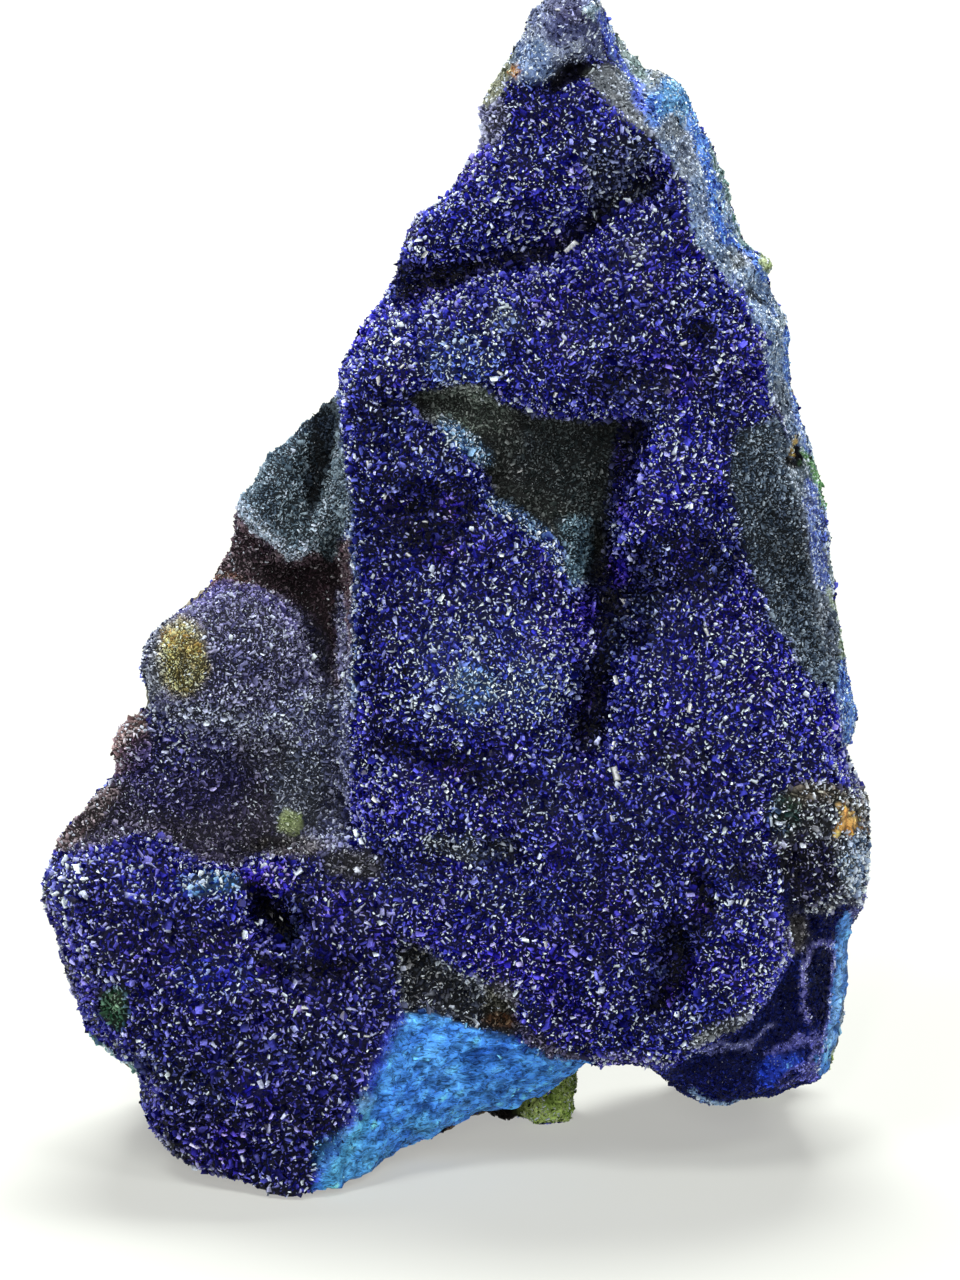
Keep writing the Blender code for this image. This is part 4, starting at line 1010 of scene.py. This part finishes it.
def mixed(tree, kind, share, first, second):
    return node(tree, "Mix", "Result", {"Factor": share, "A": first, "B": second}, data_type=kind)


def skin_material():
    """Mottled rock with pale specks, and slanting fibres on the fracture face."""
    material, tree, shader = new_material("rock_skin")
    tint = attribute(tree, "tint", "Vector")
    ripple = attribute(tree, "ripple")
    place = node(tree, "TexCoord", "Object", {})
    fine = node(tree, "TexNoise", "Fac", {
        "Vector": place, "Scale": 3200.0, "Detail": 5.0, "Roughness": 0.65})
    stretch = node(tree, "Mapping", "Vector", {
        "Vector": place, "Rotation": (0.0, math.radians(-24.0), 0.0), "Scale": (0.65, 1.0, 1.5)})
    fibre = node(tree, "TexNoise", "Fac", {
        "Vector": stretch, "Scale": 2100.0, "Detail": 6.0, "Roughness": 0.7, "Distortion": 1.2})

    mottled = scaled(tree, tint, ranged(tree, fine, 0.3, 0.7, 0.35, 1.75))
    azure = scaled(tree, tint, ranged(tree, fibre, 0.38, 0.62, 0.22, 2.00))
    blend = mixed(tree, "RGBA", ripple, mottled, azure)
    speck = node(tree, "TexVoronoi", "Distance", {"Vector": place, "Scale": 3600.0})
    chosen = node(tree, "SeparateColor", "Red", {"Color": speck.node.outputs["Color"]})
    few = maths(tree, "GREATER_THAN", chosen, 0.72)
    dots = maths(tree, "MULTIPLY", ranged(tree, speck, 0.16, 0.06, 0.0, 0.75), few)
    sparkle = mixed(tree, "RGBA", dots, blend, (0.55, 0.58, 0.62, 1.0))

    lower = maths(tree, "SUBTRACT", attribute(tree, "gloss"), 0.12)
    dull = maths(tree, "MULTIPLY_ADD", fine, 0.35, lower)
    tall = mixed(tree, "FLOAT", ripple, fine, maths(tree, "MULTIPLY", fibre, 3.4))
    bump = node(tree, "Bump", "Normal", {"Strength": 0.75, "Distance": 0.00022, "Height": tall})
    feed(tree, shader, {"Base Color": sparkle, "Roughness": dull, "Normal": bump, "IOR": 1.5,
                        "Specular IOR Level": 0.07})
    return material


def crystal_material():
    material, tree, shader = new_material("druse")
    place = node(tree, "TexCoord", "Object", {})
    fine = node(tree, "TexNoise", "Fac", {"Vector": place, "Scale": 5200.0, "Detail": 2.0})
    level = ranged(tree, fine, 0.3, 0.7, 0.6, 1.4)
    mottled = scaled(tree, attribute(tree, "tint", "Vector"), level)
    feed(tree, shader, {"Base Color": mottled, "Roughness": attribute(tree, "gloss"), "IOR": 1.6,
                        "Specular IOR Level": 0.05})
    return material


# Stage, lights and camera

FLOOR_HALF, FLOOR_DROP = 4.0, 0.00005
LIT_PLACE = (0.0, 0.0, 0.045)


def make_stage():
    """Pale floor that glows a little, so that it is as white as in a light tent."""
    mesh = bpy.data.meshes.new("floor")
    corners = [(-1, -1), (1, -1), (1, 1), (-1, 1)]
    mesh.from_pydata(
        [(x * FLOOR_HALF, y * FLOOR_HALF, 0.0) for x, y in corners], [], [(0, 1, 2, 3)])
    floor = add_object("floor", mesh)
    floor.location.z = -FLOOR_DROP
    material, tree, shader = new_material("floor")
    feed(tree, shader, {
        "Base Color": (0.26, 0.27, 0.245, 1.0), "Roughness": 0.9,
        "Emission Color": (1.0, 1.0, 0.965, 1.0), "Emission Strength": 0.40})
    mesh.materials.append(material)


def softbox(name, place, size, power):
    """Lamp of a width and height in metres and a power in watts, aimed at the rock."""
    light = bpy.data.lights.new(name, "AREA")
    light.shape = "RECTANGLE"
    light.size, light.size_y = size
    light.energy = power
    made = add_object(name, light)
    made.location = place
    aim = Vector(LIT_PLACE) - Vector(place)
    made.rotation_euler = aim.to_track_quat("-Z", "Y").to_euler()


def make_lights():
    """Four lamps, and a room that is white to the camera and dim as a light."""
    softbox("overhead", (0.00, 0.38, 0.86), (0.50, 0.30), 17.0)
    softbox("key_left", (-0.30, -0.45, 0.90), (0.30, 0.30), 7.0)
    softbox("key_right", (0.45, -0.60, 0.70), (0.24, 0.24), 3.3)
    softbox("front_strip", (-0.05, -1.00, 0.40), (0.05, 0.20), 4.0)
    world = bpy.data.worlds.new("studio")
    bpy.context.scene.world = world
    world.use_nodes = True
    tree = world.node_tree
    seen = node(tree, "LightPath", "Is Camera Ray", {})
    feed(tree, tree.nodes["Background"], {
        "Color": (1.0, 1.0, 1.0, 1.0), "Strength": ranged(tree, seen, 0.0, 1.0, 0.07, 1.0)})


# The camera looks squarely at the middle of the photograph's frame, from so many metres
CAMERA_DISTANCE = 2.0
FRAME_MIDDLE, FRAME_HEIGHT = (480.0, 640.0), 1280.0
SENSOR = 24.0


def make_camera():
    target = Vector(from_face(*FRAME_MIDDLE, 1.0)) / 1000.0
    away = Vector(AWAY)
    up = Vector((0.0, SIN, COS))
    right = away.cross(up)
    place = target - away * CAMERA_DISTANCE
    lens = bpy.data.cameras.new("camera")
    lens.sensor_fit = "VERTICAL"
    lens.sensor_height = SENSOR
    lens.lens = SENSOR * CAMERA_DISTANCE / (FRAME_HEIGHT * STEP * 0.001)
    lens.clip_start = 0.01
    lens.clip_end = 20.0
    made = add_object("camera", lens)
    made.matrix_world = Matrix((
        (right.x, up.x, -away.x, place.x),
        (right.y, up.y, -away.y, place.y),
        (right.z, up.z, -away.z, place.z),
        (0.0, 0.0, 0.0, 1.0),
    ))
    bpy.context.scene.camera = made


def build():
    skin, front, azure = make_skin()
    crystals = make_crystals(skin, front, azure) + [make_glint_flakes(skin)]
    skin.data.materials.append(skin_material())
    druse = crystal_material()
    for piece in crystals:
        piece.data.materials.append(druse)
    for piece in [skin] + crystals:
        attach(piece, "root")
        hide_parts("azurite_specimen")
    make_stage()
    make_lights()
    make_camera()
    view = bpy.context.scene.view_settings
    view.view_transform = "Standard"
    view.look = "None"
    view.exposure = 0.0
    view.gamma = 1.0


build()
